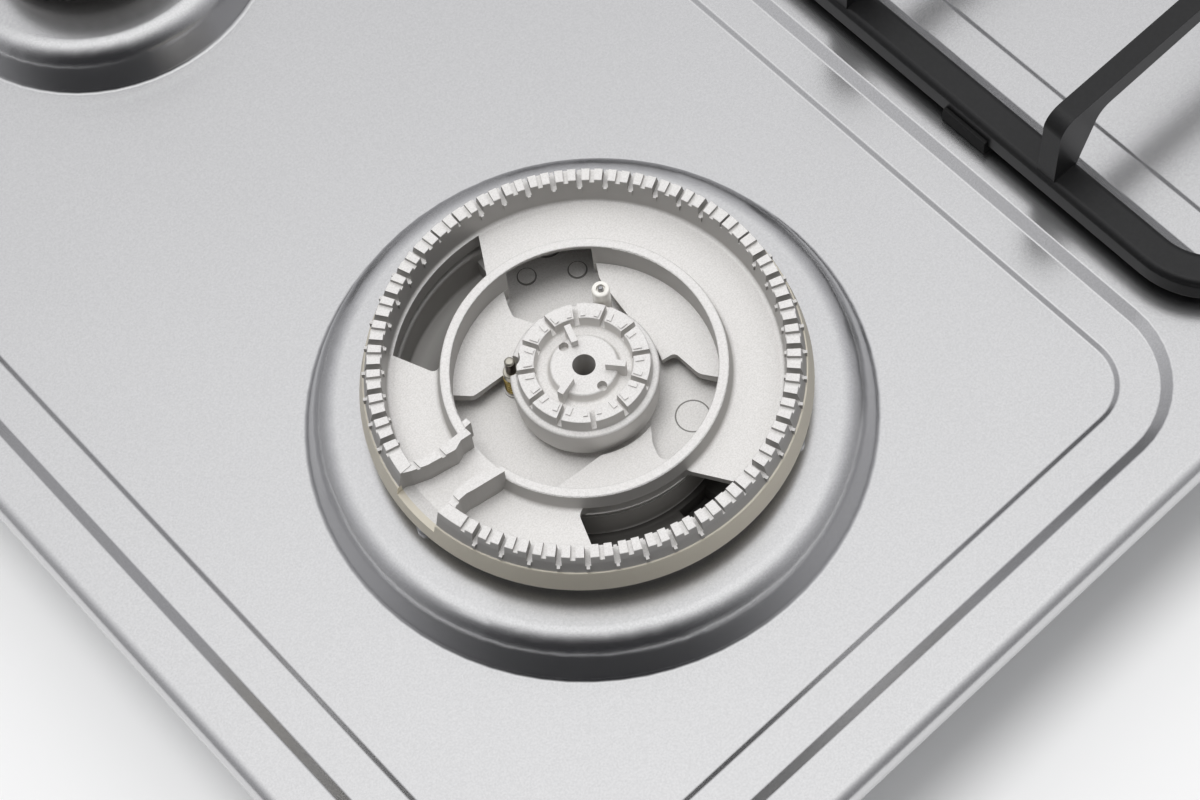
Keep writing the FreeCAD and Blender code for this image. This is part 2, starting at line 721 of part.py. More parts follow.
def cut_ports(body):
    pitch = 360.0 / PORT_COUNT
    foot_r = RING_OUT_R + RING_SLOPE
    port = ring_slot(PORT_WIDTH, PORT_DEPTH, foot_r, RING_IN_R, RING_TOP)
    quiet_port = ring_slot(QUIET_PORT_WIDTH, QUIET_PORT_DEPTH, foot_r, RING_IN_R, RING_TOP)
    slot = ring_slot(SLOT_WIDTH, SLOT_DEPTH, foot_r, RING_IN_R, RING_TOP)
    ribs, cutters = [], []
    for i in range(PORT_COUNT):
        angle = (i + 0.5) * pitch
        if not is_in_gap(angle):
            quiet = is_quiet(angle)
            cutters.append(turned_to(quiet_port if quiet else port, angle))
            if not quiet:
                ribs += [turned_to(rib, angle) for rib in port_ribs()]
        if not is_in_gap(angle + pitch / 2):
            cutters.append(turned_to(slot, angle + pitch / 2))
    return body.multiFuse(ribs).cut(Part.makeCompound(cutters))


def well_web():
    """Sloping floor inside the well wall, open in three windows."""
    low = WELL_WALL_FOOT
    web = turned([
        (WEB_IN_R, low - WEB_RISE / 2),
        (WEB_IN_R, low + WEB_SKIN - WEB_RISE / 2, EDGE),
        (WELL_WALL_IN_R + OVERRUN, low + WEB_SKIN + WEB_RISE),
        (WELL_WALL_IN_R + OVERRUN, low),
    ])
    base = low - WEB_SKIN
    height = 3 * WEB_SKIN + WEB_RISE
    well = rod(WELL_WALL_IN_R + WALL_BITE, (0, 0, base), UP, height)
    windows = [slab(outline, base, base + height) for outline in (WEB_POCKET, WEB_RIGHT, WEB_LEFT)]
    return web.cut(Part.makeCompound(windows).common(well))


def gap_walls():
    """Wavy walls beside the transfer gap, with thin slots across their tops."""
    walls = [slab(outline, TROUGH_FLOOR - OVERRUN, GAP_WALL_TOP) for outline in (GAP_WALL_BACK, GAP_WALL_FRONT)]
    slots = []
    for x0, x1, middle, reach in GAP_SLOTS:
        slots.append(block(x0, x1, middle - reach, middle + reach, GAP_WALL_TOP - GAP_SLOT_DEPTH, RING_TOP))
    return [wall.cut(Part.makeCompound(slots)) for wall in walls]


def make_wok_spreader():
    body = cut_ports(wok_ring_body())
    kidneys = []
    for turn in (1.0, -1.0):
        ins = [turn * t for t in KIDNEY_IN_ANGLES]
        outs = [turn * t for t in KIDNEY_OUT_ANGLES]
        low, high = BAND_FOOT - OVERRUN, TROUGH_FLOOR + OVERRUN
        opening = sector(KIDNEY_IN_R, KIDNEY_OUT_R, ins, outs, low, high)
        kidneys.append(opening.makeFillet(KIDNEY_ROUND, upright_edges(opening, KIDNEY_IN_R + OVERRUN)))
    under = TROUGH_FLOOR - TROUGH_SKIN
    arch = turned([
        (WELL_WALL_IN_R - OVERRUN, WELL_WALL_FOOT - OVERRUN),
        (WELL_WALL_IN_R - OVERRUN, BAY_ROOF),
        (WELL_WALL_IN_R + WALL_BITE, BAY_ROOF),
        (WELL_WALL_OUT_R + WELL_WALL_TAPER - BAY_SKIN, TROUGH_FLOOR - BAY_SKIN / 2),
        (WELL_WALL_OUT_R + WELL_WALL_TAPER, under),
        (WELL_WALL_OUT_R + WELL_WALL_TAPER, WELL_WALL_FOOT - OVERRUN),
    ], BAY_ANGLES[1] - BAY_ANGLES[0])
    arch = turned_to(arch, BAY_ANGLES[0])
    body = body.cut(Part.makeCompound(kidneys + [arch]))
    well = WELL_WALL_IN_R
    clear = block(-BAND_FOOT_R, -well + 2 * OVERRUN, GAP_FRONT, GAP_BACK, GAP_FLOOR, RING_TOP + OVERRUN)
    floor = block(-RING_OUT_R, -well - OVERRUN, GAP_FRONT, GAP_BACK, TROUGH_FLOOR - OVERRUN, GAP_FLOOR)
    tab = block(*WELL_TAB, WELL_TAB_FOOT, WELL_TAB_TOP)
    return joined([body.cut(clear), floor, tab, well_web().cut(arch)] + gap_walls())


def make_wok_crown():
    body = turned([
        (CROWN_BORE_R, CROWN_SPIGOT_FOOT),
        (CROWN_SPIGOT_R, CROWN_SPIGOT_FOOT),
        (CROWN_SPIGOT_R, CROWN_FOOT),
        (CROWN_R - RING_TAPER, CROWN_FOOT, EDGE),
        (CROWN_R, CROWN_SHOULDER, FILLET),
        (CROWN_RING_OUT_R + RING_TAPER, CROWN_SHOULDER + CROWN_SHOULDER_RISE, EDGE),
        (CROWN_RING_OUT_R, CROWN_RING_TOP, FINE_EDGE),
        (CROWN_RING_IN_R, CROWN_RING_TOP, FINE_EDGE),
        (CROWN_RING_IN_R - RING_TAPER, CROWN_BOWL, FILLET),
        (CROWN_HUB_R + CROWN_HUB_LEAN, CROWN_BOWL, FILLET),
        (CROWN_HUB_R, CROWN_HUB_TOP, SOFT_EDGE),
        (CROWN_BORE_R, CROWN_HUB_TOP),
    ])
    pitch = 360.0 / CROWN_PORTS
    port = ring_slot(CROWN_PORT_WIDTH, CROWN_PORT_DEPTH, CROWN_RING_OUT_R, CROWN_RING_IN_R, CROWN_RING_TOP)
    tab_start = CROWN_RING_IN_R + CROWN_TAB_INSET
    tab_edge = CROWN_PORT_WIDTH / 2 + CROWN_TAB_GAP
    tab = block(tab_start, tab_start + CROWN_TAB_LENGTH, tab_edge, tab_edge + CROWN_TAB_WIDTH,
                CROWN_RING_TOP - OVERRUN, CROWN_RING_TOP + CROWN_TAB_RISE)
    pair = [tab, moved(tab, 0.0, -2 * tab_edge - CROWN_TAB_WIDTH)]
    cutters, fins = [], []
    for i in range(CROWN_PORTS):
        cutters.append(turned_to(port, CROWN_TURN + i * pitch))
        fins += [turned_to(piece, CROWN_TURN + i * pitch) for piece in pair]
    x, y = round_place(*THERMO_PLACE)
    cutters.append(rod(THERMO_NOTCH_R, (x, y, CROWN_SPIGOT_FOOT), UP, CROWN_RING_TOP))
    for radius, angle in CROWN_DIMPLES:
        x, y = round_place(radius, angle)
        cutters.append(rod(CROWN_DIMPLE_R, (x, y, CROWN_HUB_TOP - CROWN_DIMPLE_DEPTH), UP, CROWN_RING_TOP))
    for angle in CROWN_FIN_ANGLES:
        half = CROWN_FIN_WIDTH / 2
        fin = block(CROWN_FIN_IN_R, CROWN_FIN_OUT_R, -half, half, CROWN_BOWL - OVERRUN, CROWN_FIN_TOP)
        fins.append(turned_to(fin, angle))
    return joined([body.cut(Part.makeCompound(cutters))] + fins)


# Burner cups
def jet_holder(radius, low, high):
    """Block under a cup, on its right, that holds the jets and takes the feed pipes."""
    half = HOLDER_WIDTH / 2
    return block(radius - HOLDER_LENGTH, radius, -half, half, low, high)


def jet_sockets(radius, levels):
    """Stepped bores in the holder: a pipe socket and the seat of the jet behind it."""
    cutters = []
    for z in levels:
        pipe_seat = radius - PIPE_SOCKET
        outlet = radius - HOLDER_LENGTH - OVERRUN
        cutters.append(rod(PIPE_R + RUN_CLEARANCE, (pipe_seat, 0, z), ALONG_X, PIPE_SOCKET + OVERRUN))
        cutters.append(rod(JET_OUTLET_R, (outlet, 0, z), ALONG_X, HOLDER_LENGTH))
        jet_seat = pipe_seat - JET_LENGTH
        cutters.append(rod(JET_R + RUN_CLEARANCE, (jet_seat, 0, z), ALONG_X, JET_LENGTH + OVERRUN))
    return cutters


def guide_sleeve(place, bore_r, top, foot):
    """Tube through a cup floor that guides an igniter or a thermocouple."""
    x, y = round_place(*place)
    outer = rod(bore_r + GUIDE_WALL, (x, y, foot), UP, top - foot)
    inner = rod(bore_r, (x, y, foot - OVERRUN), UP, top - foot + 2 * OVERRUN)
    return outer, inner


def cup_flange_holes(hole_r, low, high):
    cutters = []
    for angle in CUP_SCREW_ANGLES:
        x, y = round_place(cup_screw_r(hole_r), angle)
        cutters.append(rod(CUP_SCREW_R + RUN_CLEARANCE, (x, y, low), UP, high - low))
    return cutters


def make_wok_cup():
    flange_top = BOSS_TOP - SHEET
    flange_r = WOK_HOLE_R + CUP_FLANGE_OVERLAP
    seat = WELL_WALL_FOOT - SEAT_GAP
    hub_r = CROWN_SPIGOT_R + DROP_IN_CLEARANCE
    body = turned([
        (hub_r, CUP_BOTTOM),
        (hub_r, CROWN_FOOT - SEAT_GAP),
        (hub_r + HUB_WALL, CROWN_FOOT - SEAT_GAP, SOFT_EDGE),
        (hub_r + HUB_WALL, CUP_WELL_FLOOR, FILLET),
        (WELL_WALL_OUT_R - CUP_RIM, CUP_WELL_FLOOR, FILLET),
        (WELL_WALL_OUT_R - CUP_RIM, seat),
        (WELL_WALL_OUT_R, seat),
        (WELL_WALL_OUT_R, CUP_CHANNEL_FLOOR, CUP_CHANNEL_ROUND),
        (CUP_LEDGE_R, CUP_CHANNEL_FLOOR, FILLET),
        (CUP_LEDGE_R, CUP_LEDGE, FILLET),
        (COLLAR_IN_R, CUP_LEDGE, FILLET),
        (COLLAR_IN_R, BAND_FOOT - SEAT_GAP),
        (COLLAR_OUT_R, BAND_FOOT - SEAT_GAP),
        (COLLAR_OUT_R, flange_top),
        (flange_r, flange_top),
        (flange_r, flange_top - CUP_SKIN),
        (COLLAR_OUT_R + CUP_SIDE, flange_top - CUP_SKIN, FILLET),
        (COLLAR_OUT_R + CUP_SIDE, flange_top - 3 * CUP_SKIN, BOWL_FILLET),
        (CUP_LEDGE_R, CUP_BOTTOM, BOWL_FILLET),
    ])
    sides = (BAY_ANGLES, BAY_ANGLES)
    bay = sector(WELL_WALL_OUT_R - OVERRUN, BAY_OUT_R, *sides, CUP_CHANNEL_FLOOR - OVERRUN, CUP_WELL_FLOOR)
    doorway = sector(WELL_WALL_IN_R, WELL_WALL_OUT_R + OVERRUN, *sides, CUP_WELL_FLOOR, seat + OVERRUN)
    studs = []
    for radius, angle, stud_r in BAY_STUDS:
        x, y = round_place(radius, angle)
        studs.append(rod(stud_r, (x, y, CUP_WELL_FLOOR - OVERRUN), UP, OVERRUN + BAY_STUD_PROUD))
    intake_foot = CUP_BOTTOM + CUP_SKIN
    turns = (INTAKE_ANGLES, INTAKE_ANGLES)
    intake = sector(INTAKE_IN_R, INTAKE_OUT_R, *turns, intake_foot, CUP_CHANNEL_FLOOR + OVERRUN)
    body = body.multiFuse([bay]).cut(Part.makeCompound([doorway, intake]))
    low = PIPE_LOW_Z - ZONE_FLOOR
    high = PIPE_HIGH_Z - ZONE_FLOOR
    holder = jet_holder(WOK_HOLDER_R, low - HOLDER_ROOF, CUP_BOTTOM + OVERRUN)
    cutters = jet_sockets(WOK_HOLDER_R, (low, high))
    cutters += cup_flange_holes(WOK_HOLE_R, flange_top - 2 * CUP_SKIN, flange_top + OVERRUN)
    sleeves = []
    for place, bore in ((IGNITER_PLACE, IGNITER_R), (THERMO_PLACE, THERMO_R)):
        top = CUP_WELL_FLOOR + GUIDE_RISE
        outer, inner = guide_sleeve(place, bore + RUN_CLEARANCE, top, CUP_BOTTOM - GUIDE_DROP)
        sleeves.append(outer)
        cutters.append(inner)
    whole = body.multiFuse(studs + [holder] + sleeves)
    return whole.cut(Part.makeCompound(cutters)).removeSplitter()


def make_igniter(place, top, foot):
    x, y = round_place(*place)
    cup = top - IGNITER_CUP_DEPTH
    ceramic = turned([
        (ELECTRODE_R + RUN_CLEARANCE, foot),
        (IGNITER_R, foot),
        (IGNITER_R, top, IGNITER_ROUND),
        (IGNITER_CUP_R, top),
        (IGNITER_CUP_R, cup),
        (ELECTRODE_R + RUN_CLEARANCE, cup),
    ])
    return moved(ceramic, x, y)


def make_electrode(place, top, foot):
    x, y = round_place(*place)
    tip = top + ELECTRODE_PROUD
    pin = turned([(0.0, foot), (ELECTRODE_R, foot), (ELECTRODE_R, tip, ELECTRODE_ROUND), (0.0, tip)])
    return moved(pin, x, y)


def make_thermocouple(place, top, collar_foot, foot):
    """Probe with a rounded tip above a collar and a stem below it."""
    x, y = round_place(*place)
    collar_top = collar_foot + THERMO_COLLAR
    probe = turned([
        (0.0, foot),
        (THERMO_R, foot),
        (THERMO_R, collar_foot),
        (THERMO_COLLAR_R, collar_foot, FINE_EDGE),
        (THERMO_COLLAR_R, collar_top, EDGE),
        (THERMO_R, collar_top),
        (THERMO_R, top, THERMO_ROUND),
        (0.0, top),
    ])
    return moved(probe, x, y)


def arc_from(start, tangent, end):
    """Circular arc that leaves its start along a tangent."""
    chord = end - start
    along = Vector(chord).normalize()
    lean = tangent.getAngle(along)
    bulge = (tangent - along * math.cos(lean)).normalize()
    middle = (start + end) * 0.5 + bulge * (chord.Length / 2 * math.tan(lean / 2))
    return Part.Arc(start, middle, end).toShape()


def spring_gap(points, per_turn, wire_r):
    """Least clear distance between turns, measured on points most of a turn or more apart."""
    apart = per_turn - 2
    least = min((p - q).Length for i, p in enumerate(points) for q in points[i + apart:])
    return least - 2 * wire_r


def make_spring(place, foot):
    """Coil spring of round wire, on biarcs of a quarter turn."""
    x, y = round_place(*place)
    rise = SPRING_PITCH / (2 * math.pi)
    spots, aims = [], []
    for i in range(4 * SPRING_TURNS + 1):
        turn = math.pi / 2 * i
        spots.append(Vector(SPRING_R * math.cos(turn), SPRING_R * math.sin(turn), rise * turn))
        aims.append(Vector(-SPRING_R * math.sin(turn), SPRING_R * math.cos(turn), rise).normalize())
    points_per_turn = 8
    edges, trail = [], [spots[0]]
    for a, b, start_aim, end_aim in zip(spots, spots[1:], aims, aims[1:]):
        span = b - a
        sharp = 2 * (1 - start_aim.dot(end_aim))
        slope = 2 * span.dot(start_aim + end_aim)
        reach = (math.sqrt(slope ** 2 + 4 * sharp * span.dot(span)) - slope) / (2 * sharp)
        join = (a + start_aim * reach + b - end_aim * reach) * 0.5
        edges.append(arc_from(a, start_aim, join))
        edges.append(arc_from(b, end_aim * -1.0, join))
        trail += [join, b]
    path = Part.Wire(Part.sortEdges(edges)[0])
    circle = Part.Wire(Part.makeCircle(SPRING_WIRE_R, spots[0], aims[0]))
    print("spring gap", round(spring_gap(trail, points_per_turn, SPRING_WIRE_R), 2))
    return moved(path.makePipeShell([circle], True, False), x, y, foot)


# Ordinary burners
def probe_places(spread_r):
    return [(spread_r + PROBE_STEP, angle) for angle in PROBE_ANGLES]


def make_cup(spread_r):
    """Cup with a neck for the spreader, a flange under the boss and ears that carry the probes."""
    hole_r = plate_hole_r(spread_r)
    flange_top = BOSS_TOP - SHEET
    neck_r = spread_r - NECK_INSET
    body = turned([
        (0.0, CUP_BOTTOM),
        (neck_r + CUP_SIDE, CUP_BOTTOM, BOWL_FILLET),
        (neck_r + CUP_SIDE, flange_top - CUP_SKIN, FILLET),
        (hole_r + CUP_FLANGE_OVERLAP, flange_top - CUP_SKIN),
        (hole_r + CUP_FLANGE_OVERLAP, flange_top),
        (neck_r, flange_top),
        (neck_r, SPREADER_FOOT - SEAT_GAP, EDGE),
        (neck_r - NECK_SKIN, SPREADER_FOOT - SEAT_GAP),
        (neck_r - NECK_SKIN, CUP_BOTTOM + CUP_SKIN, BOWL_FILLET),
        (0.0, CUP_BOTTOM + CUP_SKIN),
    ])
    level = PIPE_LOW_Z - ZONE_FLOOR
    pieces = [jet_holder(BURNER_HOLDER_R, level - HOLDER_ROOF, CUP_BOTTOM + OVERRUN)]
    cutters = jet_sockets(BURNER_HOLDER_R, (level,))
    cutters += cup_flange_holes(hole_r, flange_top - 2 * CUP_SKIN, flange_top + OVERRUN)
    ear_top = flange_top - EAR_DROP
    for place, bore in zip(probe_places(spread_r), (IGNITER_R, THERMO_R)):
        bore += RUN_CLEARANCE
        half = EAR_WIDTH / 2
        ear = block(neck_r, place[0] + bore + GUIDE_WALL, -half, half, flange_top - 2 * CUP_SKIN, ear_top)
        outer, inner = guide_sleeve(place, bore, ear_top, flange_top - 2 * CUP_SKIN - GUIDE_DROP)
        pieces += [turned_to(ear, place[1]), outer]
        cutters.append(inner)
    return body.multiFuse(pieces).cut(Part.makeCompound(cutters)).removeSplitter()


def make_spreader(spread_r):
    """Flame ring with ports round its top and a spigot that drops into the cup."""
    spigot_r = spread_r - NECK_INSET - NECK_SKIN - DROP_IN_CLEARANCE
    bore_r = spigot_r - NECK_SKIN
    body = turned([
        (bore_r, SPREADER_FOOT - SKIRT_DROP),
        (spigot_r, SPREADER_FOOT - SKIRT_DROP),
        (spigot_r, SPREADER_FOOT),
        (spread_r, SPREADER_FOOT, SOFT_EDGE),
        (spread_r, SPREADER_FOOT + RING_WALL, SOFT_EDGE),
        (spread_r - SPREADER_LIP, SPREADER_FOOT + 2 * RING_WALL, SOFT_EDGE),
        (spread_r - SPREADER_LIP, SPREADER_TOP, FINE_EDGE),
        (bore_r, SPREADER_TOP),
    ])
    count = int(2 * math.pi * spread_r / SPREADER_PORT_PITCH)
    slot = ring_slot(SPREADER_PORT_WIDTH, SPREADER_PORT_DEPTH, spread_r, bore_r, SPREADER_TOP)
    cutters = [turned_to(slot, i * 360.0 / count) for i in range(count)]
    return body.cut(Part.makeCompound(cutters))


def make_cap(spread_r):
    """Enamelled lid with a rounded edge and a rib that centres it in the spreader."""
    foot = SPREADER_TOP + SEAT_GAP
    edge = spread_r - SPREADER_LIP + CAP_OVERHANG
    rib = spread_r - NECK_INSET - 2 * NECK_SKIN - 2 * DROP_IN_CLEARANCE
    return turned([
        (0.0, foot),
        (rib - NECK_SKIN, foot),
        (rib - NECK_SKIN, foot - SKIRT_DROP, EDGE),
        (rib, foot - SKIRT_DROP, EDGE),
        (rib, foot),
        (edge, foot, EDGE),
        (edge, foot + CAP_SKIN, CAP_ROUND),
        (edge - CAP_SHOULDER, foot + CAP_SKIN + CAP_CROWN, CAP_CROWN_ROUND),
        (0.0, foot + CAP_SKIN + CAP_CROWN),
    ])


def make_cup_screw():
    """Pan-head screw; its head sits on the boss and its shank passes the sheet and the cup flange."""
    foot = BOSS_TOP - SHEET - 2 * CUP_SKIN
    return turned([
        (0.0, foot),
        (CUP_SCREW_R, foot, EDGE),
        (CUP_SCREW_R, BOSS_TOP),
        (CUP_SCREW_HEAD_R, BOSS_TOP),
        (CUP_SCREW_HEAD_R, BOSS_TOP + CUP_SCREW_HEAD, SOFT_EDGE),
        (0.0, BOSS_TOP + CUP_SCREW_HEAD),
    ])


def make_jet():
    """Brass jet with a fine bore and a countersunk outlet, pointing along -X from its socket."""
    jet = turned([
        (JET_BORE_R, 0.0),
        (JET_R, 0.0),
        (JET_R, JET_LENGTH, EDGE),
        (2 * JET_BORE_R, JET_LENGTH),
        (JET_BORE_R, JET_LENGTH - JET_BORE_R),
    ])
    jet.rotate(Vector(), ALONG_Y, -90.0)
    return jet


# Pan support
def bar_points(middle):
    """Cross-section of a rounded bar."""
    half = BAR_WIDTH / 2
    return [
        (middle - half, BAR_FOOT, BAR_ROUND / 2),
        (middle + half, BAR_FOOT, BAR_ROUND / 2),
        (middle + half, BAR_TOP, BAR_ROUND),
        (middle - half, BAR_TOP, BAR_ROUND),
    ]


def finger(reach):
    """Finger that rises from a bar and reaches inwards along X, with a rounded heel and tip."""
    top = ZONE_FLOOR + FINGER_TOP
    heel = BAR_WIDTH / 2 - FINGER_HEEL_INSET
    points = [
        (-heel, BAR_TOP - BAR_ROUND),
        (-heel, top, 2 * FINGER_ROUND),
        (reach, top, FINGER_ROUND),
        (reach, top - FINGER_TIP_DEPTH, FINGER_ROUND),
        (FINGER_ROOT, top - FINGER_DEPTH, 2 * FINGER_ROUND),
        (heel, BAR_TOP - BAR_ROUND),
    ]
    return moved(section(points), 0.0, -FINGER_WIDTH / 2).extrude(Vector(0, FINGER_WIDTH, 0))


def make_pan_support():
    """Frame with rounded corners, a middle bar and fingers that reach over the burners."""
    pieces = around(bar_points(BAR_CORNER), BAR_X, BAR_Y, BAR_CORNER)
    middle = moved(section(bar_points(0.0)), 0.0, -BAR_X).extrude(Vector(0, 2 * BAR_X, 0))
    pieces.append(moved(turned_to(middle, 90.0), 0.0, MIDDLE_BAR_Y))
    cross_ys = (-BAR_Y, MIDDLE_BAR_Y, BAR_Y)
    side_finger = finger(BAR_X - FINGER_TIP)
    for burner in BURNERS:
        if burner.x != RIGHT_BURNER_X:
            continue
        y = burner.y
        for dy in (-FINGER_SPREAD, FINGER_SPREAD):
            pieces.append(moved(side_finger, -BAR_X, y + dy))
            pieces.append(moved(turned_to(side_finger, 180.0), BAR_X, y + dy))
        tip = burner.spread_r + FINGER_WIDTH
        front = max(cross_y for cross_y in cross_ys if cross_y < y)
        back = min(cross_y for cross_y in cross_ys if cross_y > y)
        pieces.append(moved(turned_to(finger(y - front - tip), 90.0), 0.0, front))
        pieces.append(moved(turned_to(finger(back - y - tip), -90.0), 0.0, back))
    return moved(joined(pieces), RIGHT_BURNER_X, 0.0)


def make_pan_support_feet():
    """Rubber boots that grip the side bars from below."""
    half = BAR_WIDTH / 2 + RUN_CLEARANCE
    outer = half + FOOT_LIP
    foot = BORDER_TOP + RUN_CLEARANCE
    lip = BAR_FOOT + FOOT_CLIMB
    points = [
        (-outer, foot, SOFT_EDGE),
        (outer, foot, SOFT_EDGE),
        (outer, lip, EDGE),
        (half, lip),
        (half, BAR_FOOT - RUN_CLEARANCE),
        (-half, BAR_FOOT - RUN_CLEARANCE),
        (-half, lip),
        (-outer, lip, EDGE),
    ]
    boot = moved(section(points), 0.0, -FOOT_LENGTH / 2).extrude(Vector(0, FOOT_LENGTH, 0))
    boots = [moved(boot, RIGHT_BURNER_X + side * BAR_X, y) for side in (-1, 1) for y in FEET_Y]
    return Part.makeCompound(boots)


# Knobs, spindles and taps
def d_shaft(radius, flat, low, high):
    """Round shaft with one flat side."""
    side = block(flat, 2 * radius, -radius, radius, low - OVERRUN, high + OVERRUN)
    return rod(radius, (0, 0, low), UP, high - low).cut(side)


def make_spindle():
    plain = rod(SPINDLE_R, (0, 0, SPINDLE_FOOT), UP, KNOB_FOOT - SPINDLE_FOOT)
    return plain.fuse(d_shaft(SPINDLE_R, SPINDLE_FLAT, KNOB_FOOT, SPINDLE_TOP))


def make_knob():
    """Round skirt with a grip bar across it and a pointer groove along the front of the bar."""
    top = KNOB_FOOT + KNOB_HEIGHT
    skirt_top = KNOB_FOOT + KNOB_SKIRT
    skirt = turned([
        (0.0, KNOB_FOOT),
        (KNOB_R, KNOB_FOOT, EDGE),
        (KNOB_R, skirt_top - OVERRUN, KNOB_SKIRT_ROUND),
        (KNOB_TOP_R, skirt_top, FILLET),
        (0.0, skirt_top),
    ])
    half = KNOB_GRIP_HALF
    length = KNOB_TOP_R
    corner = half - RUN_CLEARANCE
    grip_corners = ((-half, -length), (half, -length), (half, length), (-half, length))
    outline = [(x, y, corner) for x, y in grip_corners]
    grip = slab(outline, skirt_top - OVERRUN, top)
    rim = [edge for edge in grip.Edges if min(v.Z for v in edge.Vertexes) > top - TINY]
    grip = grip.makeFillet(KNOB_RIM_ROUND, rim)
    start = POINTER_END - length
    mark = POINTER_WIDTH / 2
    pointer = block(-mark, mark, start, start + POINTER_LENGTH, top - POINTER_DEPTH, top + OVERRUN)
    clear = RUN_CLEARANCE
    bore = d_shaft(SPINDLE_R + clear, SPINDLE_FLAT + clear, KNOB_FOOT - OVERRUN, SPINDLE_TOP + clear)
    return joined([skirt, grip]).cut(Part.makeCompound([pointer, bore]))


def make_knob_seal():
    return turned([
        (SPINDLE_HOLE_R, BORDER_TOP),
        (KNOB_R + KNOB_SEAL_PROUD, BORDER_TOP),
        (KNOB_R + KNOB_SEAL_PROUD, SEAL_TOP, FILLET),
        (SPINDLE_HOLE_R, SEAL_TOP),
    ])


def make_push_rod():
    foot = SPINDLE_FOOT - PUSH_ROD_LENGTH
    return turned([(0.0, foot), (PUSH_ROD_R, foot, EDGE), (PUSH_ROD_R, SPINDLE_FOOT), (0.0, SPINDLE_FOOT)])


def make_tap(levels):
    """Brass tap body clamped on the rail, with a neck under the plate and a nozzle for each pipe."""
    half = TAP_SIZE / 2
    corner = TAP_CORNER
    outline = [(-half, -half, corner), (half, -half, corner), (half, half, corner), (-half, half, corner)]
    pieces = [slab(outline, TAP_FOOT, TAP_TOP)]
    pieces.append(rod(TAP_NECK_R, (0, 0, TAP_TOP - OVERRUN), UP, BORDER_TOP - SHEET - TAP_TOP + OVERRUN))
    pieces.append(rod(RAIL_R + RAIL_CUFF, (RAIL_OFFSET, -half, RAIL_Z), ALONG_Y, TAP_SIZE))
    push_bore = SPINDLE_FOOT - PUSH_ROD_LENGTH - KNOB_TRAVEL - SEAT_GAP
    spindle_bore = SPINDLE_FOOT - KNOB_TRAVEL - SEAT_GAP
    cutters = [
        rod(RAIL_R + RUN_CLEARANCE, (RAIL_OFFSET, -half - OVERRUN, RAIL_Z), ALONG_Y, TAP_SIZE + 2 * OVERRUN),
        rod(SPINDLE_R + RUN_CLEARANCE, (0, 0, spindle_bore), UP, BORDER_TOP),
        rod(PUSH_ROD_R + RUN_CLEARANCE, (0, 0, push_bore), UP, BORDER_TOP),
    ]
    for z in levels:
        mouth = -half - TAP_NOZZLE
        pieces.append(rod(TAP_NOZZLE_R, (mouth, 0, z), ALONG_X, TAP_NOZZLE + OVERRUN))
        cutters.append(rod(PIPE_R + RUN_CLEARANCE, (mouth - OVERRUN, 0, z), ALONG_X, PIPE_SOCKET + OVERRUN))
    return pieces[0].multiFuse(pieces[1:]).cut(Part.makeCompound(cutters)).removeSplitter()


# Gas rail and inlet
def make_gas_rail():
    """Steel tube, closed at the front."""
    length = RAIL_END_Y - RAIL_FRONT_Y
    tube = rod(RAIL_R, (RAIL_X, RAIL_FRONT_Y, RAIL_Z), ALONG_Y, length)
    return tube.cut(rod(RAIL_R - RAIL_WALL, (RAIL_X, RAIL_FRONT_Y + RAIL_WALL, RAIL_Z), ALONG_Y, length))


def make_gas_inlet():
    """Fitting over the rail's end, with a shoulder inside the tray wall and a pipe thread outside it.

    A thread relief in the wall's hole lets the connector come up to the tray.
    """
    wall = TRAY_HALF_Y - SHEET
    start = wall - INLET_SOCKET
    thread = TRAY_HALF_Y + INLET_RELIEF
    pieces = [
        rod(INLET_SOCKET_R, (RAIL_X, start, RAIL_Z), ALONG_Y, INLET_SOCKET),
        rod(INLET_FLANGE_R, (RAIL_X, wall - INLET_FLANGE, RAIL_Z), ALONG_Y, INLET_FLANGE),
        rod(INLET_RELIEF_R, (RAIL_X, wall - OVERRUN, RAIL_Z), ALONG_Y, SHEET + 2 * OVERRUN),
        rod(INLET_R, (RAIL_X, thread, RAIL_Z), ALONG_Y, INLET_LENGTH - INLET_RELIEF),
    ]
    cutters = [
        rod(RAIL_R + RUN_CLEARANCE, (RAIL_X, start - OVERRUN, RAIL_Z), ALONG_Y, RAIL_END_Y - start + OVERRUN),
        rod(INLET_BORE_R, (RAIL_X, start, RAIL_Z), ALONG_Y, INLET_SOCKET + 2 * INLET_LENGTH),
    ]
    return pieces[0].multiFuse(pieces[1:]).cut(Part.makeCompound(cutters)).removeSplitter()


# Feed pipes from the taps to the cups
def make_pipe(tap_y, turn_x, end_x, end_y, z):
    seat_x = end_x - PIPE_SOCKET
    route = [(PIPE_START_X, tap_y, z), (turn_x, tap_y, z), (turn_x, end_y, z), (seat_x, end_y, z)]
    return bent_tube(route, PIPE_R, PIPE_WALL, PIPE_BEND)


# Tray and what fastens it
def tray_points(inset):
    edge = TRAY_CORNER - inset
    return [(0.0, inset), (edge, inset, TRAY_ROUND), (edge, BORDER_TOP - SHEET), (0.0, BORDER_TOP - SHEET)]


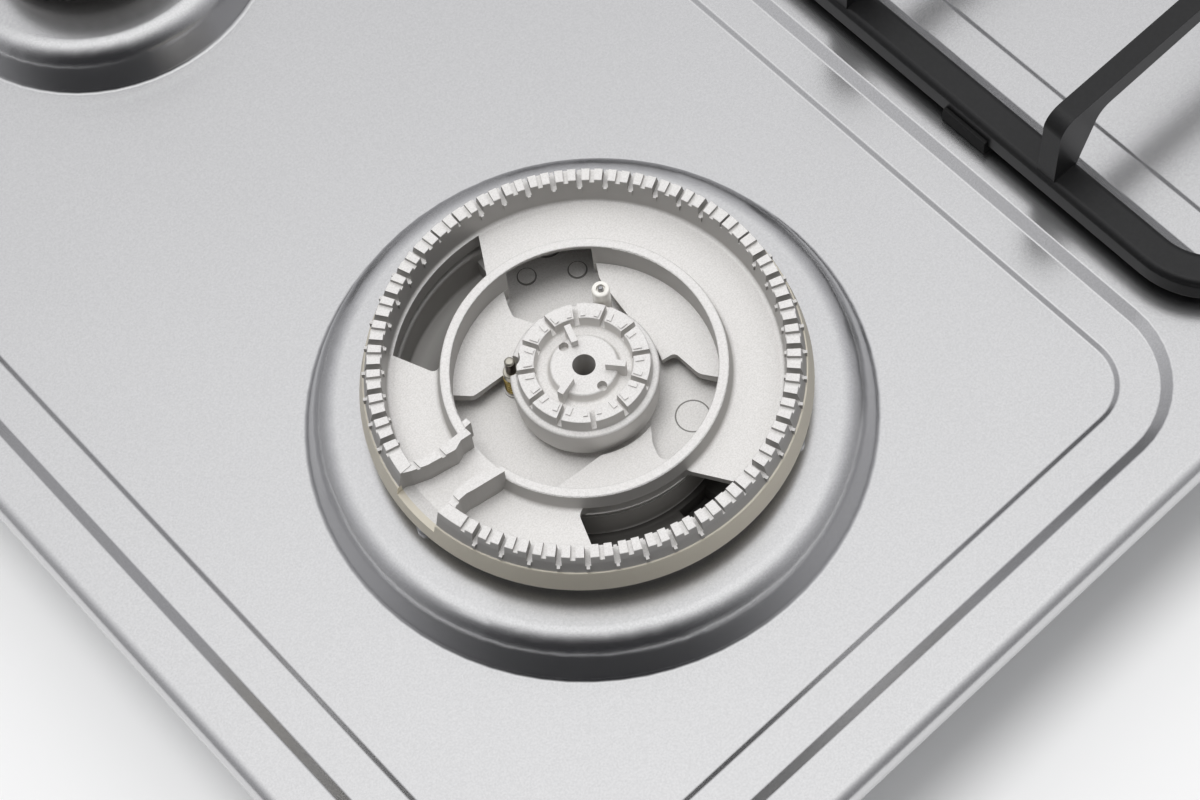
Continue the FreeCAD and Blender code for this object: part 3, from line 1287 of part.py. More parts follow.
def make_bottom_tray():
    form = dish(tray_points(0.0), TRAY_HALF_X, TRAY_HALF_Y, TRAY_CORNER)
    hollow = dish(tray_points(SHEET), TRAY_HALF_X, TRAY_HALF_Y, TRAY_CORNER)
    bumps, cutters = [], []
    for x, y in POST_PLACES:
        bumps.append(rod(DIMPLE_R + SHEET, (x, y, 0.0), UP, DIMPLE_RISE + SHEET))
        cutters.append(rod(DIMPLE_R, (x, y, -OVERRUN), UP, DIMPLE_RISE + OVERRUN))
        cutters.append(rod(TRAY_SCREW_R + SCREW_CLEARANCE, (x, y, 0.0), UP, DIMPLE_RISE + 2 * SHEET))
    inlet_r = INLET_R + SCREW_CLEARANCE
    cutters.append(rod(inlet_r, (RAIL_X, TRAY_HALF_Y - 2 * SHEET, RAIL_Z), ALONG_Y, 3 * SHEET))
    for x, side in clamp_places():
        start = side * (TRAY_HALF_Y + SHEET)
        bore_r = CLAMP_SCREW_R + RUN_CLEARANCE
        cutters.append(rod(bore_r, (x, start, CLAMP_SCREW_Z), ALONG_Y * -side, 3 * SHEET))
    return form.cut(hollow).multiFuse(bumps).cut(Part.makeCompound(cutters)).removeSplitter()


def make_tray_posts():
    foot = DIMPLE_RISE + SHEET
    height = BORDER_TOP - SHEET - foot
    posts = []
    for x, y in POST_PLACES:
        post = rod(POST_R, (x, y, foot), UP, height)
        posts.append(post.cut(rod(POST_BORE_R, (x, y, foot - OVERRUN), UP, TRAY_SCREW_LENGTH + 2 * OVERRUN)))
    return Part.makeCompound(posts)


def make_tray_screws():
    screw = turned([
        (0.0, DIMPLE_RISE - TRAY_SCREW_HEAD),
        (TRAY_SCREW_HEAD_R, DIMPLE_RISE - TRAY_SCREW_HEAD, SOFT_EDGE),
        (TRAY_SCREW_HEAD_R, DIMPLE_RISE),
        (TRAY_SCREW_R, DIMPLE_RISE),
        (TRAY_SCREW_R, DIMPLE_RISE + TRAY_SCREW_LENGTH, EDGE),
        (0.0, DIMPLE_RISE + TRAY_SCREW_LENGTH),
    ])
    return Part.makeCompound([moved(screw, x, y) for x, y in POST_PLACES])


def rounded_frame(half_x, half_y, corner, width, low, high):
    outlines = []
    for inset in (0.0, width):
        x, y, r = half_x - inset, half_y - inset, corner - inset
        outlines.append(slab([(-x, -y, r), (x, -y, r), (x, y, r), (-x, y, r)], low, high))
    return outlines[0].cut(outlines[1])


def make_worktop_seal():
    half_x = PLATE_WIDTH / 2 - SEAL_INSET
    half_y = PLATE_DEPTH / 2 - SEAL_INSET
    return rounded_frame(half_x, half_y, PLATE_CORNER - SEAL_INSET, SEAL_WIDTH, WORKTOP, BORDER_TOP - SHEET)


def clamp_places():
    return [(x, side) for x in (-CLAMP_X, CLAMP_X) for side in (-1, 1)]


def make_fixing_clamps():
    """Angle brackets on the tray's front and back walls; their feet hook under the worktop."""
    half = CLAMP_WIDTH / 2
    clamps = []
    for x, side in clamp_places():
        leg = [(0.0, CLAMP_FOOT), (CLAMP_REACH, CLAMP_FOOT), (CLAMP_REACH, CLAMP_FOOT + CLAMP_SKIN),
               (CLAMP_SKIN, CLAMP_FOOT + CLAMP_SKIN, CLAMP_SKIN / 2), (CLAMP_SKIN, CLAMP_FOOT + CLAMP_HEIGHT),
               (0.0, CLAMP_FOOT + CLAMP_HEIGHT)]
        angle = moved(section(leg), 0.0, -half).extrude(Vector(0, CLAMP_WIDTH, 0))
        bore_r = CLAMP_SCREW_R + RUN_CLEARANCE
        angle = angle.cut(rod(bore_r, (-OVERRUN, 0, CLAMP_SCREW_Z), ALONG_X, 2 * CLAMP_REACH))
        clamps.append(moved(turned_to(angle, 90.0 * side), x, side * TRAY_HALF_Y))
    return Part.makeCompound(clamps)


def make_clamp_screws():
    screws = []
    for x, side in clamp_places():
        screw = turned([
            (0.0, -CLAMP_SCREW_LENGTH),
            (CLAMP_SCREW_R, -CLAMP_SCREW_LENGTH, EDGE),
            (CLAMP_SCREW_R, 0.0),
            (CLAMP_SCREW_HEAD_R, 0.0),
            (CLAMP_SCREW_HEAD_R, CLAMP_SCREW_HEAD, SOFT_EDGE),
            (0.0, CLAMP_SCREW_HEAD),
        ])
        screw.rotate(Vector(), ALONG_X, -90.0 * side)
        screws.append(moved(screw, x, side * (TRAY_HALF_Y + CLAMP_SKIN), CLAMP_SCREW_Z))
    return Part.makeCompound(screws)


def make_spark_generator():
    """Moulded box on the tray floor, with a row of pins for the ignition leads."""
    length, width, height = SPARK_SIZE
    x, y = length / 2, width / 2
    corner = SPARK_CORNER
    outline = [(-x, -y, corner), (x, -y, corner), (x, y, corner), (-x, y, corner)]
    pieces = [slab(outline, SHEET, SHEET + height)]
    for i in range(SPARK_PINS):
        place = -x + length * (i + 0.5) / SPARK_PINS
        pin = rod(SPARK_PIN_R, (place, -y - SPARK_PIN, SHEET + height / 2), ALONG_Y, SPARK_PIN + OVERRUN)
        pieces.append(pin)
    return moved(joined(pieces), *SPARK_PLACE)


# Assembly
def at_wok(shape):
    return moved(shape, WOK_X, WOK_Y, ZONE_FLOOR)


export("top_plate", make_top_plate())
export("wok_spreader", at_wok(make_wok_spreader()))
export("wok_crown", at_wok(make_wok_crown()))
export("wok_cup", at_wok(make_wok_cup()))
export("wok_igniter", at_wok(make_igniter(IGNITER_PLACE, IGNITER_TOP, PROBE_FOOT)))
export("wok_electrode", at_wok(make_electrode(IGNITER_PLACE, IGNITER_TOP, PROBE_FOOT)))
probe = make_thermocouple(THERMO_PLACE, WOK_THERMO_TOP, THERMO_COLLAR_FOOT, PROBE_FOOT)
export("wok_thermocouple", at_wok(probe))
export("wok_thermocouple_spring", at_wok(make_spring(THERMO_PLACE, SPRING_FOOT)))

screw = make_cup_screw()
jet = make_jet()
cup_screws, jets, electrodes = [], [], []
for angle in CUP_SCREW_ANGLES:
    cup_screws.append(at_wok(moved(screw, *round_place(cup_screw_r(WOK_HOLE_R), angle))))
for z in (PIPE_LOW_Z, PIPE_HIGH_Z):
    jets.append(moved(jet, WOK_X + WOK_HOLDER_R - PIPE_SOCKET, WOK_Y, z))

for burner in BURNERS:
    place = (burner.x, burner.y, ZONE_FLOOR)
    export("cup_" + burner.name, moved(make_cup(burner.spread_r), *place))
    export("spreader_" + burner.name, moved(make_spreader(burner.spread_r), *place))
    export("cap_" + burner.name, moved(make_cap(burner.spread_r), *place))
    igniter_place, thermo_place = probe_places(burner.spread_r)
    igniter = make_igniter(igniter_place, IGNITER_TOP, CUP_BOTTOM)
    pin = make_electrode(igniter_place, IGNITER_TOP, CUP_BOTTOM)
    export("igniter_" + burner.name, moved(igniter, *place))
    electrodes.append(moved(pin, *place))
    thermo = make_thermocouple(thermo_place, THERMO_TOP, BOSS_TOP + SEAT_GAP, CUP_BOTTOM)
    export("thermocouple_" + burner.name, moved(thermo, *place))
    for angle in CUP_SCREW_ANGLES:
        dx, dy = round_place(cup_screw_r(plate_hole_r(burner.spread_r)), angle)
        cup_screws.append(moved(screw, burner.x + dx, burner.y + dy, ZONE_FLOOR))
    jets.append(moved(jet, burner.x + BURNER_HOLDER_R - PIPE_SOCKET, burner.y, PIPE_LOW_Z))
export("electrodes", Part.makeCompound(electrodes))
export("cup_screws", Part.makeCompound(cup_screws))
export("injectors", Part.makeCompound(jets))

export("pan_support", make_pan_support())
export("pan_support_feet", make_pan_support_feet())

knob_ys = knob_places()
seals = []
for number, y in enumerate(knob_ys, 1):
    levels = (PIPE_LOW_Z, PIPE_HIGH_Z) if number == WOK_TAP else (PIPE_LOW_Z,)
    export("tap_%d" % number, moved(make_tap(levels), CONTROL_X, y))
    export("push_rod_%d" % number, moved(make_push_rod(), CONTROL_X, y))
    export("spindle_%d" % number, moved(make_spindle(), CONTROL_X, y))
    export("knob_%d" % number, moved(make_knob(), CONTROL_X, y))
    seals.append(moved(make_knob_seal(), CONTROL_X, y))
export("knob_seals", Part.makeCompound(seals))

export("gas_rail", make_gas_rail())
export("gas_inlet", make_gas_inlet())
wok_end = WOK_X + WOK_HOLDER_R
left_end = BACK_LEFT_X + BURNER_HOLDER_R
right_end = RIGHT_BURNER_X + BURNER_HOLDER_R
feeds = (
    ("wok_outer", WOK_TAP, WOK_PIPE_X, wok_end, WOK_Y, PIPE_LOW_Z),
    ("wok_inner", WOK_TAP, WOK_PIPE_X, wok_end, WOK_Y, PIPE_HIGH_Z),
    ("back_left", BACK_LEFT_TAP, BACK_LEFT_PIPE_X, left_end, BACK_LEFT_Y, PIPE_LOW_Z),
    ("back_right", BACK_RIGHT_TAP, RIGHT_PIPE_X, right_end, BACK_RIGHT_Y, PIPE_LOW_Z),
    ("front_right", FRONT_RIGHT_TAP, RIGHT_PIPE_X, right_end, FRONT_RIGHT_Y, PIPE_LOW_Z),
)
for name, tap, turn_x, end_x, end_y, z in feeds:
    export("feed_pipe_" + name, make_pipe(knob_ys[tap - 1], turn_x, end_x, end_y, z))

export("bottom_tray", make_bottom_tray())
export("tray_posts", make_tray_posts())
export("tray_screws", make_tray_screws())
export("worktop_seal", make_worktop_seal())
export("fixing_clamps", make_fixing_clamps())
export("clamp_screws", make_clamp_screws())
export("spark_generator", make_spark_generator())
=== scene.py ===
# %% [markdown]
# # A gas hob with its wok burner opened for cleaning
# The hob is a pressed stainless-steel plate over a steel tray. The wok burner at the front left has its caps
# off, so the flame ports of its cast ring show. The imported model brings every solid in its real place, in
# metres, and this lesson dresses those solids in their real finishes.

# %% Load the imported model
import json
import math
import bpy
from mathutils import Matrix, Vector


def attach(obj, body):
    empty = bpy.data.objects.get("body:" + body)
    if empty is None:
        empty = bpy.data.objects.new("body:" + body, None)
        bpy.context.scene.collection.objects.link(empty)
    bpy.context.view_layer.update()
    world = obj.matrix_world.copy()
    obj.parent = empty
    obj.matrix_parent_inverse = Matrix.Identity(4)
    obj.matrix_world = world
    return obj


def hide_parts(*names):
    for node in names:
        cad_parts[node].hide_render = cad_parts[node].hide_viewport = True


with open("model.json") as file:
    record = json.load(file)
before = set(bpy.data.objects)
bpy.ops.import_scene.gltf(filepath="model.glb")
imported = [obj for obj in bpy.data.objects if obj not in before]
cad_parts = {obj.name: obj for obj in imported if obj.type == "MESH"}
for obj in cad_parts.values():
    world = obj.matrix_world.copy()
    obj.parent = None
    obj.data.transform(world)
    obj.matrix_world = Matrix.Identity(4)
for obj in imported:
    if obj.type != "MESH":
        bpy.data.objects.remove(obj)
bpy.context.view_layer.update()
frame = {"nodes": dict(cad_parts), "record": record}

nodes = frame["nodes"]
scene = bpy.context.scene
scene.view_settings.view_transform = "Standard"
print("loaded", len(nodes), "solids")

# %% [markdown]
# ## Camera
# The photo was taken from the front left, steeply from above, with a short telephoto view. Its place and its
# three directions were worked out from the circles of the burner and the straight folds of the plate. The
# point WOK is on the wok burner's axis, and the heights on that burner are counted from it.

# %% Camera
MM = 0.001
WOK = Vector((-0.197, -0.112, 0.0544))
CAMERA_FROM_WOK = Vector((-0.2089, -0.3015, 0.7537))
RIGHT = Vector((0.73467, -0.67551, -0.06292))
UP = Vector((0.62906, 0.64354, 0.43605))
BACK = Vector((-0.25407, -0.35993, 0.89773))
SENSOR_WIDTH = 36.0
LENS = 82.5
NEAREST = 10 * MM

turn = Matrix((RIGHT, UP, BACK)).transposed()
bpy.ops.object.camera_add(location=WOK + CAMERA_FROM_WOK, rotation=turn.to_euler())
camera = bpy.context.object
camera.data.sensor_width = SENSOR_WIDTH
camera.data.lens = LENS
camera.data.clip_start = NEAREST
scene.camera = camera
print("camera at", [round(v, 3) for v in camera.location])

# %% [markdown]
# ## Node helper and colours
# Every finish is a small node tree. One function adds a node, sets it and links it, and another turns the
# colour that a designer would write, an sRGB hex value, into the linear numbers that light works with.


# %% Node helper and colours
def linear(code):
    values = [int(code[i:i + 2], 16) / 255 for i in (1, 3, 5)]
    return [v / 12.92 if v <= 0.04045 else ((v + 0.055) / 1.055) ** 2.4 for v in values] + [1.0]


def add_node(tree, kind, inputs=(), stops=(), **settings):
    """Add a node; inputs are values or links, and stops are the (place, colour) pairs of a colour ramp."""
    made = tree.nodes.new(kind)
    for name, value in settings.items():
        setattr(made, name, value)
    for socket, value in dict(inputs).items():
        if isinstance(value, bpy.types.NodeSocket):
            tree.links.new(value, made.inputs[socket])
        else:
            made.inputs[socket].default_value = value
    for index, (place, colour) in enumerate(stops):
        marks = made.color_ramp.elements
        mark = marks[index] if index < len(marks) else marks.new(place)
        mark.position = place
        mark.color = colour
    return made


def new_finish(name):
    finish = bpy.data.materials.new(name)
    finish.use_nodes = True
    tree = finish.node_tree
    place = tree.nodes.new("ShaderNodeTexCoord").outputs["Object"]
    return finish, tree, tree.nodes["Principled BSDF"], place


print("white is", linear("#FFFFFF")[:3])

# %% [markdown]
# ## Light
# A studio for shiny metal is a wide bright ceiling over grey walls. Flat metal then looks pale and even, and
# the walls show as grey bands wherever the sheet bends. The wall behind the camera is dark, so the faces that
# look that way, such as the near side of each burner boss, show how round they are. One soft lamp high on the
# left lifts the faces that lie flat. It is left out of reflections, so it leaves no hard spot in the metal.

# %% World
ROOM = [(0.0, "#8C8C8E"), (0.45, "#A8A8AA"), (0.7, "#C8C8CA"), (0.842, "#E0E0E1"), (0.96, "#FFFFFF")]
DARK_WALL = Vector((-0.635, -0.657, 0.407))
DARK_FROM = 0.35
DARK_FULL = 0.97
ROOM_STRENGTH = 1.25

world = bpy.data.worlds.new("studio")
scene.world = world
world.use_nodes = True
tree = world.node_tree
direction = tree.nodes.new("ShaderNodeTexCoord").outputs["Generated"]
height = add_node(tree, "ShaderNodeSeparateXYZ", {"Vector": direction}).outputs["Z"]
room = add_node(tree, "ShaderNodeValToRGB", {"Fac": height}, [(at, linear(code)) for at, code in ROOM])
facing = add_node(tree, "ShaderNodeVectorMath", {0: direction, 1: DARK_WALL}, operation="DOT_PRODUCT")
dark = add_node(tree, "ShaderNodeMapRange", {"Value": facing.outputs["Value"], "From Min": DARK_FROM,
                                             "From Max": DARK_FULL}, interpolation_type="SMOOTHSTEP")
sky = add_node(tree, "ShaderNodeMix", {"Factor": dark.outputs["Result"], "A": room.outputs["Color"],
                                       "B": linear("#2C2C2E")}, data_type="RGBA")
tree.links.new(sky.outputs["Result"], tree.nodes["Background"].inputs["Color"])
tree.nodes["Background"].inputs["Strength"].default_value = ROOM_STRENGTH
print("world nodes", len(tree.nodes))

# %% Lamp
LAMP_SIDE = Vector((-0.07, 0.15, 0.986))
LAMP_STRENGTH = 1.6
LAMP_SPREAD = math.radians(25.0)

bpy.ops.object.light_add(type="SUN", rotation=LAMP_SIDE.to_track_quat("Z", "Y").to_euler())
lamp = bpy.context.object
lamp.data.energy = LAMP_STRENGTH
lamp.data.angle = LAMP_SPREAD
lamp.visible_glossy = False
print("lamp strength", round(lamp.data.energy, 2))

# %% [markdown]
# ## Floor
# The hob stands on a plain white floor. A little glow, seen only by the camera and by reflections, keeps it
# white, and the ordinary diffuse part still takes the hob's shadow.

# %% Floor
FLOOR_SIZE = 8.0
FLOOR_BELOW = 0.5 * MM
FLOOR_GLOW = 0.12

bpy.ops.mesh.primitive_plane_add(size=FLOOR_SIZE, location=(0.0, 0.0, -FLOOR_BELOW))
floor = bpy.context.object
floor.name = "floor"
paper, tree, shader, place = new_finish("white paper floor")
shader.inputs["Base Color"].default_value = linear("#E4E4E4")
shader.inputs["Roughness"].default_value = 0.9
path = tree.nodes.new("ShaderNodeLightPath")
seen = path.outputs["Is Camera Ray"]
for ray in ("Is Glossy Ray", "Is Transmission Ray"):
    either = add_node(tree, "ShaderNodeMath", {0: seen, 1: path.outputs[ray]}, operation="MAXIMUM")
    seen = either.outputs["Value"]
glow = add_node(tree, "ShaderNodeMath", {0: seen, 1: FLOOR_GLOW}, operation="MULTIPLY")
shader.inputs["Emission Color"].default_value = linear("#FFFFFF")
tree.links.new(glow.outputs["Value"], shader.inputs["Emission Strength"])
floor.data.materials.append(paper)
print("floor laid")

# %% [markdown]
# ## Stainless steel
# The plate is satin stainless sheet: a bright metal whose fine blasted grain blurs reflections. The grain is
# about half a millimetre here, coarser than the real one, so that it shows. Broad clouds change the gloss.

# %% Satin stainless sheet
STEEL_GRAIN = 0.6 * MM
STEEL_CLOUD = 60 * MM

satin_steel, tree, shader, place = new_finish("satin stainless steel")
grain = add_node(tree, "ShaderNodeTexNoise", {"Vector": place, "Scale": 1.0 / STEEL_GRAIN, "Detail": 3.0})
cloud = add_node(tree, "ShaderNodeTexNoise", {"Vector": place, "Scale": 1.0 / STEEL_CLOUD, "Detail": 2.0})
tone = add_node(tree, "ShaderNodeValToRGB", {"Fac": grain.outputs["Fac"]},
                [(0.3, linear("#CDCDCE")), (0.7, linear("#D7D7D8"))])
tree.links.new(tone.outputs["Color"], shader.inputs["Base Color"])
gloss = add_node(tree, "ShaderNodeMapRange", {"Value": cloud.outputs["Fac"], "To Min": 0.23, "To Max": 0.29})
tree.links.new(gloss.outputs["Result"], shader.inputs["Roughness"])
shader.inputs["Metallic"].default_value = 1.0
dents = add_node(tree, "ShaderNodeBump", {"Height": grain.outputs["Fac"], "Strength": 0.06,
                                          "Distance": 0.1 * MM})
tree.links.new(dents.outputs["Normal"], shader.inputs["Normal"])
print("steel made")

# %% [markdown]
# ## Cast aluminium
# The burner rings are die-cast aluminium, shot-blasted to a pale sandy surface. The grit leaves dents of
# about half a millimetre, and they scatter light, so the finish is only partly metallic. Steep faces are
# painted darker than flat ones, a painted shade for the light that falls less on walls. A die casting also
# keeps thin round lines where ejector pins pushed it out of the die; they are narrow grooves, so a mask on
# the distance from the pin's axis draws each one, bumped in and painted darker as a painted shade.


# %% Masks on place
def off_axis(tree, place, x, y):
    """Distance of a point from the upright line through x, y."""
    apart = add_node(tree, "ShaderNodeVectorMath", {0: place, 1: (x, y, 0.0)}, operation="SUBTRACT")
    flat = add_node(tree, "ShaderNodeVectorMath", {0: apart.outputs["Vector"], 1: (1.0, 1.0, 0.0)},
                    operation="MULTIPLY")
    length = add_node(tree, "ShaderNodeVectorMath", {0: flat.outputs["Vector"]}, operation="LENGTH")
    return length.outputs["Value"]


def outer(tree, place, least_radius, top):
    """1 further from the wok burner's axis than a radius and lower than a height on it, 0 elsewhere."""
    radius = off_axis(tree, place, WOK.x, WOK.y)
    height = add_node(tree, "ShaderNodeSeparateXYZ", {"Vector": place}).outputs["Z"]
    outside = add_node(tree, "ShaderNodeMath", {0: radius, 1: least_radius}, operation="GREATER_THAN")
    below = add_node(tree, "ShaderNodeMath", {0: height, 1: WOK.z + top}, operation="LESS_THAN")
    return add_node(tree, "ShaderNodeMath", {0: outside.outputs["Value"], 1: below.outputs["Value"]},
                    operation="MULTIPLY").outputs["Value"]


def paint(tree, shader, mask, colour):
    """Lay a colour over a finish where the mask is 1."""
    under = shader.inputs["Base Color"].links[0].from_socket
    mixed = add_node(tree, "ShaderNodeMix", {"Factor": mask, "A": under, "B": colour}, data_type="RGBA")
    tree.links.new(mixed.outputs["Result"], shader.inputs["Base Color"])


print("masks ready")

# %% Shot-blasted casting
CAST_METAL = 0.4
UNSHADED_ABOVE = 0.8
FULL_SHADE_BELOW = 0.2
PIN_LINE = 0.22 * MM


def casting(name, pale, dark, wall_shade, grit, rough):
    finish, tree, shader, place = new_finish(name)
    sand = add_node(tree, "ShaderNodeTexNoise", {"Vector": place, "Scale": 1.0 / grit, "Detail": 4.0,
                                                 "Roughness": 0.65})
    tone = add_node(tree, "ShaderNodeValToRGB", {"Fac": sand.outputs["Fac"]},
                    [(0.35, linear(dark)), (0.65, linear(pale))])
    tree.links.new(tone.outputs["Color"], shader.inputs["Base Color"])
    outward = tree.nodes.new("ShaderNodeNewGeometry").outputs["Normal"]
    upward = add_node(tree, "ShaderNodeSeparateXYZ", {"Vector": outward}).outputs["Z"]
    # Painted shade: faces that turn from flat to steep are painted the darker wall colour, for the light they
    # miss.
    wall_shade_mask = add_node(tree, "ShaderNodeMapRange", {"Value": upward, "From Min": UNSHADED_ABOVE,
                                                  "From Max": FULL_SHADE_BELOW})
    paint(tree, shader, wall_shade_mask.outputs["Result"], linear(wall_shade))
    shader.inputs["Metallic"].default_value = CAST_METAL
    shader.inputs["Roughness"].default_value = rough
    dents = add_node(tree, "ShaderNodeBump", {"Height": sand.outputs["Fac"], "Strength": 0.35,
                                              "Distance": 0.12 * MM})
    tree.links.new(dents.outputs["Normal"], shader.inputs["Normal"])
    return finish, tree, shader, place


def pin_mark(tree, shader, place, x, y, radius):
    """Groove left round an ejector pin; x and y count from the wok burner's axis."""
    apart = off_axis(tree, place, WOK.x + x, WOK.y + y)
    line = add_node(tree, "ShaderNodeMath", {0: apart, 1: radius, 2: PIN_LINE}, operation="COMPARE")
    # Painted shade: the groove's line is painted darker, besides its bump.
    paint(tree, shader, line.outputs["Value"], linear("#8E8C89"))
    dents = shader.inputs["Normal"].links[0].from_socket
    groove = add_node(tree, "ShaderNodeBump", {"Height": line.outputs["Value"], "Strength": 0.5,
                                               "Distance": 0.3 * MM, "Normal": dents}, invert=True)
    tree.links.new(groove.outputs["Normal"], shader.inputs["Normal"])


BLASTED = {"pale": "#F6F4F2", "dark": "#E4E2DF", "wall_shade": "#B4B2AF", "grit": 0.5 * MM, "rough": 0.55}
CROWN = BLASTED | {"wall_shade": "#D6D4D1"}
RAW = {"pale": "#C9C7C4", "dark": "#A9A7A4", "wall_shade": "#94928F", "grit": 0.6 * MM, "rough": 0.45}
blasted = casting("shot-blasted cast aluminium", **BLASTED)[0]
crown_casting = casting("blasted crown", **CROWN)[0]
cup_casting = casting("raw cast aluminium", **RAW)[0]
print("castings made")

# %% [markdown]
# ## Wok ring and wok cup
# The outer side of the wok ring is turned on a lathe, so it shines more than the blasted rest, and its foot
# band is coated, with a champagne tint. Masks on height and radius find both. The cup below keeps the marks
# of its ejector pins. The deep channel round it is painted dark, darkest near the well and paler outwards,
# a painted shade for the recess; the bay, where the channel is filled, is left out of that painted shade.

# %% Wok ring with its champagne foot band
BAND_RADIUS = 64.6 * MM
BAND_TOP = 29.9 * MM
TURNED_RADIUS = 61.0 * MM
TURNED_TOP = 34.0 * MM
TURNED_METAL = 0.8

ring_casting, tree, shader, place = casting("blasted ring with turned foot band", **BLASTED)
paint(tree, shader, outer(tree, place, BAND_RADIUS, BAND_TOP), linear("#E8E2D3"))
turned = outer(tree, place, TURNED_RADIUS, TURNED_TOP)
sheen = add_node(tree, "ShaderNodeMapRange", {"Value": turned, "To Min": CAST_METAL, "To Max": TURNED_METAL})
tree.links.new(sheen.outputs["Result"], shader.inputs["Metallic"])
print("ring finish nodes", len(tree.nodes))

# %% Wok cup with the marks of its ejector pins and a painted shade in its channel
# Each pin's distance from the burner's axis, its angle round it in degrees, and its radius.
PINS = [(44.8 * MM, 72.6, 2.9 * MM), (42.5 * MM, 52.0, 2.9 * MM), (54.0 * MM, 61.5, 5.2 * MM),
        (32.5 * MM, -57.8, 5.2 * MM)]
CHANNEL_RADIUS = 43.0 * MM
CHANNEL_TOP = 17.0 * MM
CHANNEL_SHADE_DARKEST = 46.0 * MM
CHANNEL_SHADE_FADED = 54.0 * MM
BAY_X = 20.6 * MM
BAY_Y = 42.2 * MM
BAY_REACH = 19.0 * MM

wok_cup_casting, tree, shader, place = casting("blasted wok cup", **BLASTED)
for out, degrees, pin_radius in PINS:
    angle = math.radians(degrees)
    pin_mark(tree, shader, place, out * math.cos(angle), out * math.sin(angle), pin_radius)
off_bay = off_axis(tree, place, WOK.x + BAY_X, WOK.y + BAY_Y)
past_bay = add_node(tree, "ShaderNodeMath", {0: off_bay, 1: BAY_REACH}, operation="GREATER_THAN")
# Painted shade: the channel round the wok cup, outside the bay, is painted dark, fading paler outwards.
channel = add_node(tree, "ShaderNodeMath", {0: outer(tree, place, CHANNEL_RADIUS, CHANNEL_TOP),
                                            1: past_bay.outputs["Value"]}, operation="MULTIPLY")
radius = off_axis(tree, place, WOK.x, WOK.y)
across = add_node(tree, "ShaderNodeMapRange", {"Value": radius, "From Min": CHANNEL_SHADE_DARKEST,
                                               "From Max": CHANNEL_SHADE_FADED})
channel_shade = add_node(tree, "ShaderNodeValToRGB", {"Fac": across.outputs["Result"]},
                [(0.0, linear("#5A5855")), (1.0, linear("#B4B2AF"))])
paint(tree, shader, channel.outputs["Value"], channel_shade.outputs["Color"])
print("cup finish nodes", len(tree.nodes))

# %% [markdown]
# ## Other finishes
# Enamel is glass fused on iron, with a faint orange-peel skin. Silicone rubber is matt. The igniter is
# glazed ceramic. Brass, galvanised sheet and drawn aluminium tube are inside and under the hob.


# %% Plain grained finishes
def grained(name, pale, dark, grain_mm, rough, metal, bump):
    finish, tree, shader, place = new_finish(name)
    grain = add_node(tree, "ShaderNodeTexNoise", {"Vector": place, "Scale": 1.0 / (grain_mm * MM),
                                                  "Detail": 3.0})
    tone = add_node(tree, "ShaderNodeValToRGB", {"Fac": grain.outputs["Fac"]},
                    [(0.35, linear(dark)), (0.65, linear(pale))])
    tree.links.new(tone.outputs["Color"], shader.inputs["Base Color"])
    shader.inputs["Metallic"].default_value = metal
    shader.inputs["Roughness"].default_value = rough
    dents = add_node(tree, "ShaderNodeBump", {"Height": grain.outputs["Fac"], "Strength": bump,
                                              "Distance": 0.1 * MM})
    tree.links.new(dents.outputs["Normal"], shader.inputs["Normal"])
    return finish, tree, shader, place


# Name, pale and dark colour, grain in millimetres, roughness, metallic and strength of the bump.
enamel = grained("matt black enamel", "#151516", "#0F0F10", 1.2, 0.4, 0.0, 0.25)[0]
rubber = grained("black silicone rubber", "#1E1E1E", "#171717", 0.8, 0.7, 0.0, 0.3)[0]
ceramic = grained("glazed white ceramic", "#F4F2EC", "#ECE9E2", 2.5, 0.22, 0.0, 0.03)[0]
brass = grained("turned brass", "#C9A85F", "#B8964F", 0.8, 0.32, 1.0, 0.1)[0]
plain_steel = grained("plain steel wire", "#BDBDBE", "#9C9C9E", 1.0, 0.3, 1.0, 0.1)[0]
tube_aluminium = grained("drawn aluminium tube", "#D2D4D6", "#BFC1C4", 1.5, 0.35, 1.0, 0.1)[0]
zinc_sheet = grained("galvanised sheet", "#BDC2C6", "#A3A9AE", 9.0, 0.42, 1.0, 0.05)[0]
spring_brass = grained("brass-plated spring wire", "#CDB873", "#A8935A", 0.8, 0.25, 1.0, 0.1)[0]
print("grained finishes made")

# %% [markdown]
# ## Probes and knobs
# A thermocouple has a bright collar and a tip that the flame has burnt dark, with its top end painted bright
# as a painted highlight, so its colour changes with height. Each knob carries a white line of paint in a
# groove on its grip, found by place too. The four knobs stand in a row, so the place along the row is folded
# back onto one pitch.

# %% Probe with a burnt tip and a painted highlight at its end
COLLAR_SHOULDER = 0.2 * MM
HIGHLIGHT_SPAN = 0.8 * MM


def probe(name, collar_top, tip_top):
    finish, tree, shader, place = grained(name, "#5A4E45", "#2E2824", 1.2, 0.34, 1.0, 0.1)
    height = add_node(tree, "ShaderNodeSeparateXYZ", {"Vector": place}).outputs["Z"]
    collar = add_node(tree, "ShaderNodeMath", {0: height, 1: WOK.z + collar_top + COLLAR_SHOULDER},
                      operation="LESS_THAN")
    painted_highlight = add_node(tree, "ShaderNodeMath", {0: height, 1: WOK.z + tip_top - HIGHLIGHT_SPAN},
                   operation="GREATER_THAN")
    # The collar is painted its own bright colour; the tip's top end is painted bright as a painted highlight.
    for collar_or_highlight in (collar, painted_highlight):
        paint(tree, shader, collar_or_highlight.outputs["Value"], linear("#CFCBBF"))
    return finish


wok_probe = probe("wok thermocouple steel", collar_top=24.4 * MM, tip_top=31.0 * MM)
small_probe = probe("thermocouple steel", collar_top=17.6 * MM, tip_top=29.5 * MM)
print("probes made")

# %% Knob with a painted pointer
KNOB_TOP = 83.9 * MM
KNOB_X = 293 * MM
FIRST_KNOB_Y = -145 * MM
KNOB_PITCH = 70 * MM
# How far the painted groove's middle is below the knob's top and in front of its axis.
GROOVE_DOWN = 0.55 * MM
GROOVE_FORWARD = 11.1 * MM
# Half of its width, depth and length.
GROOVE_HALF = (0.62 * MM, 0.25 * MM, 5.4 * MM)

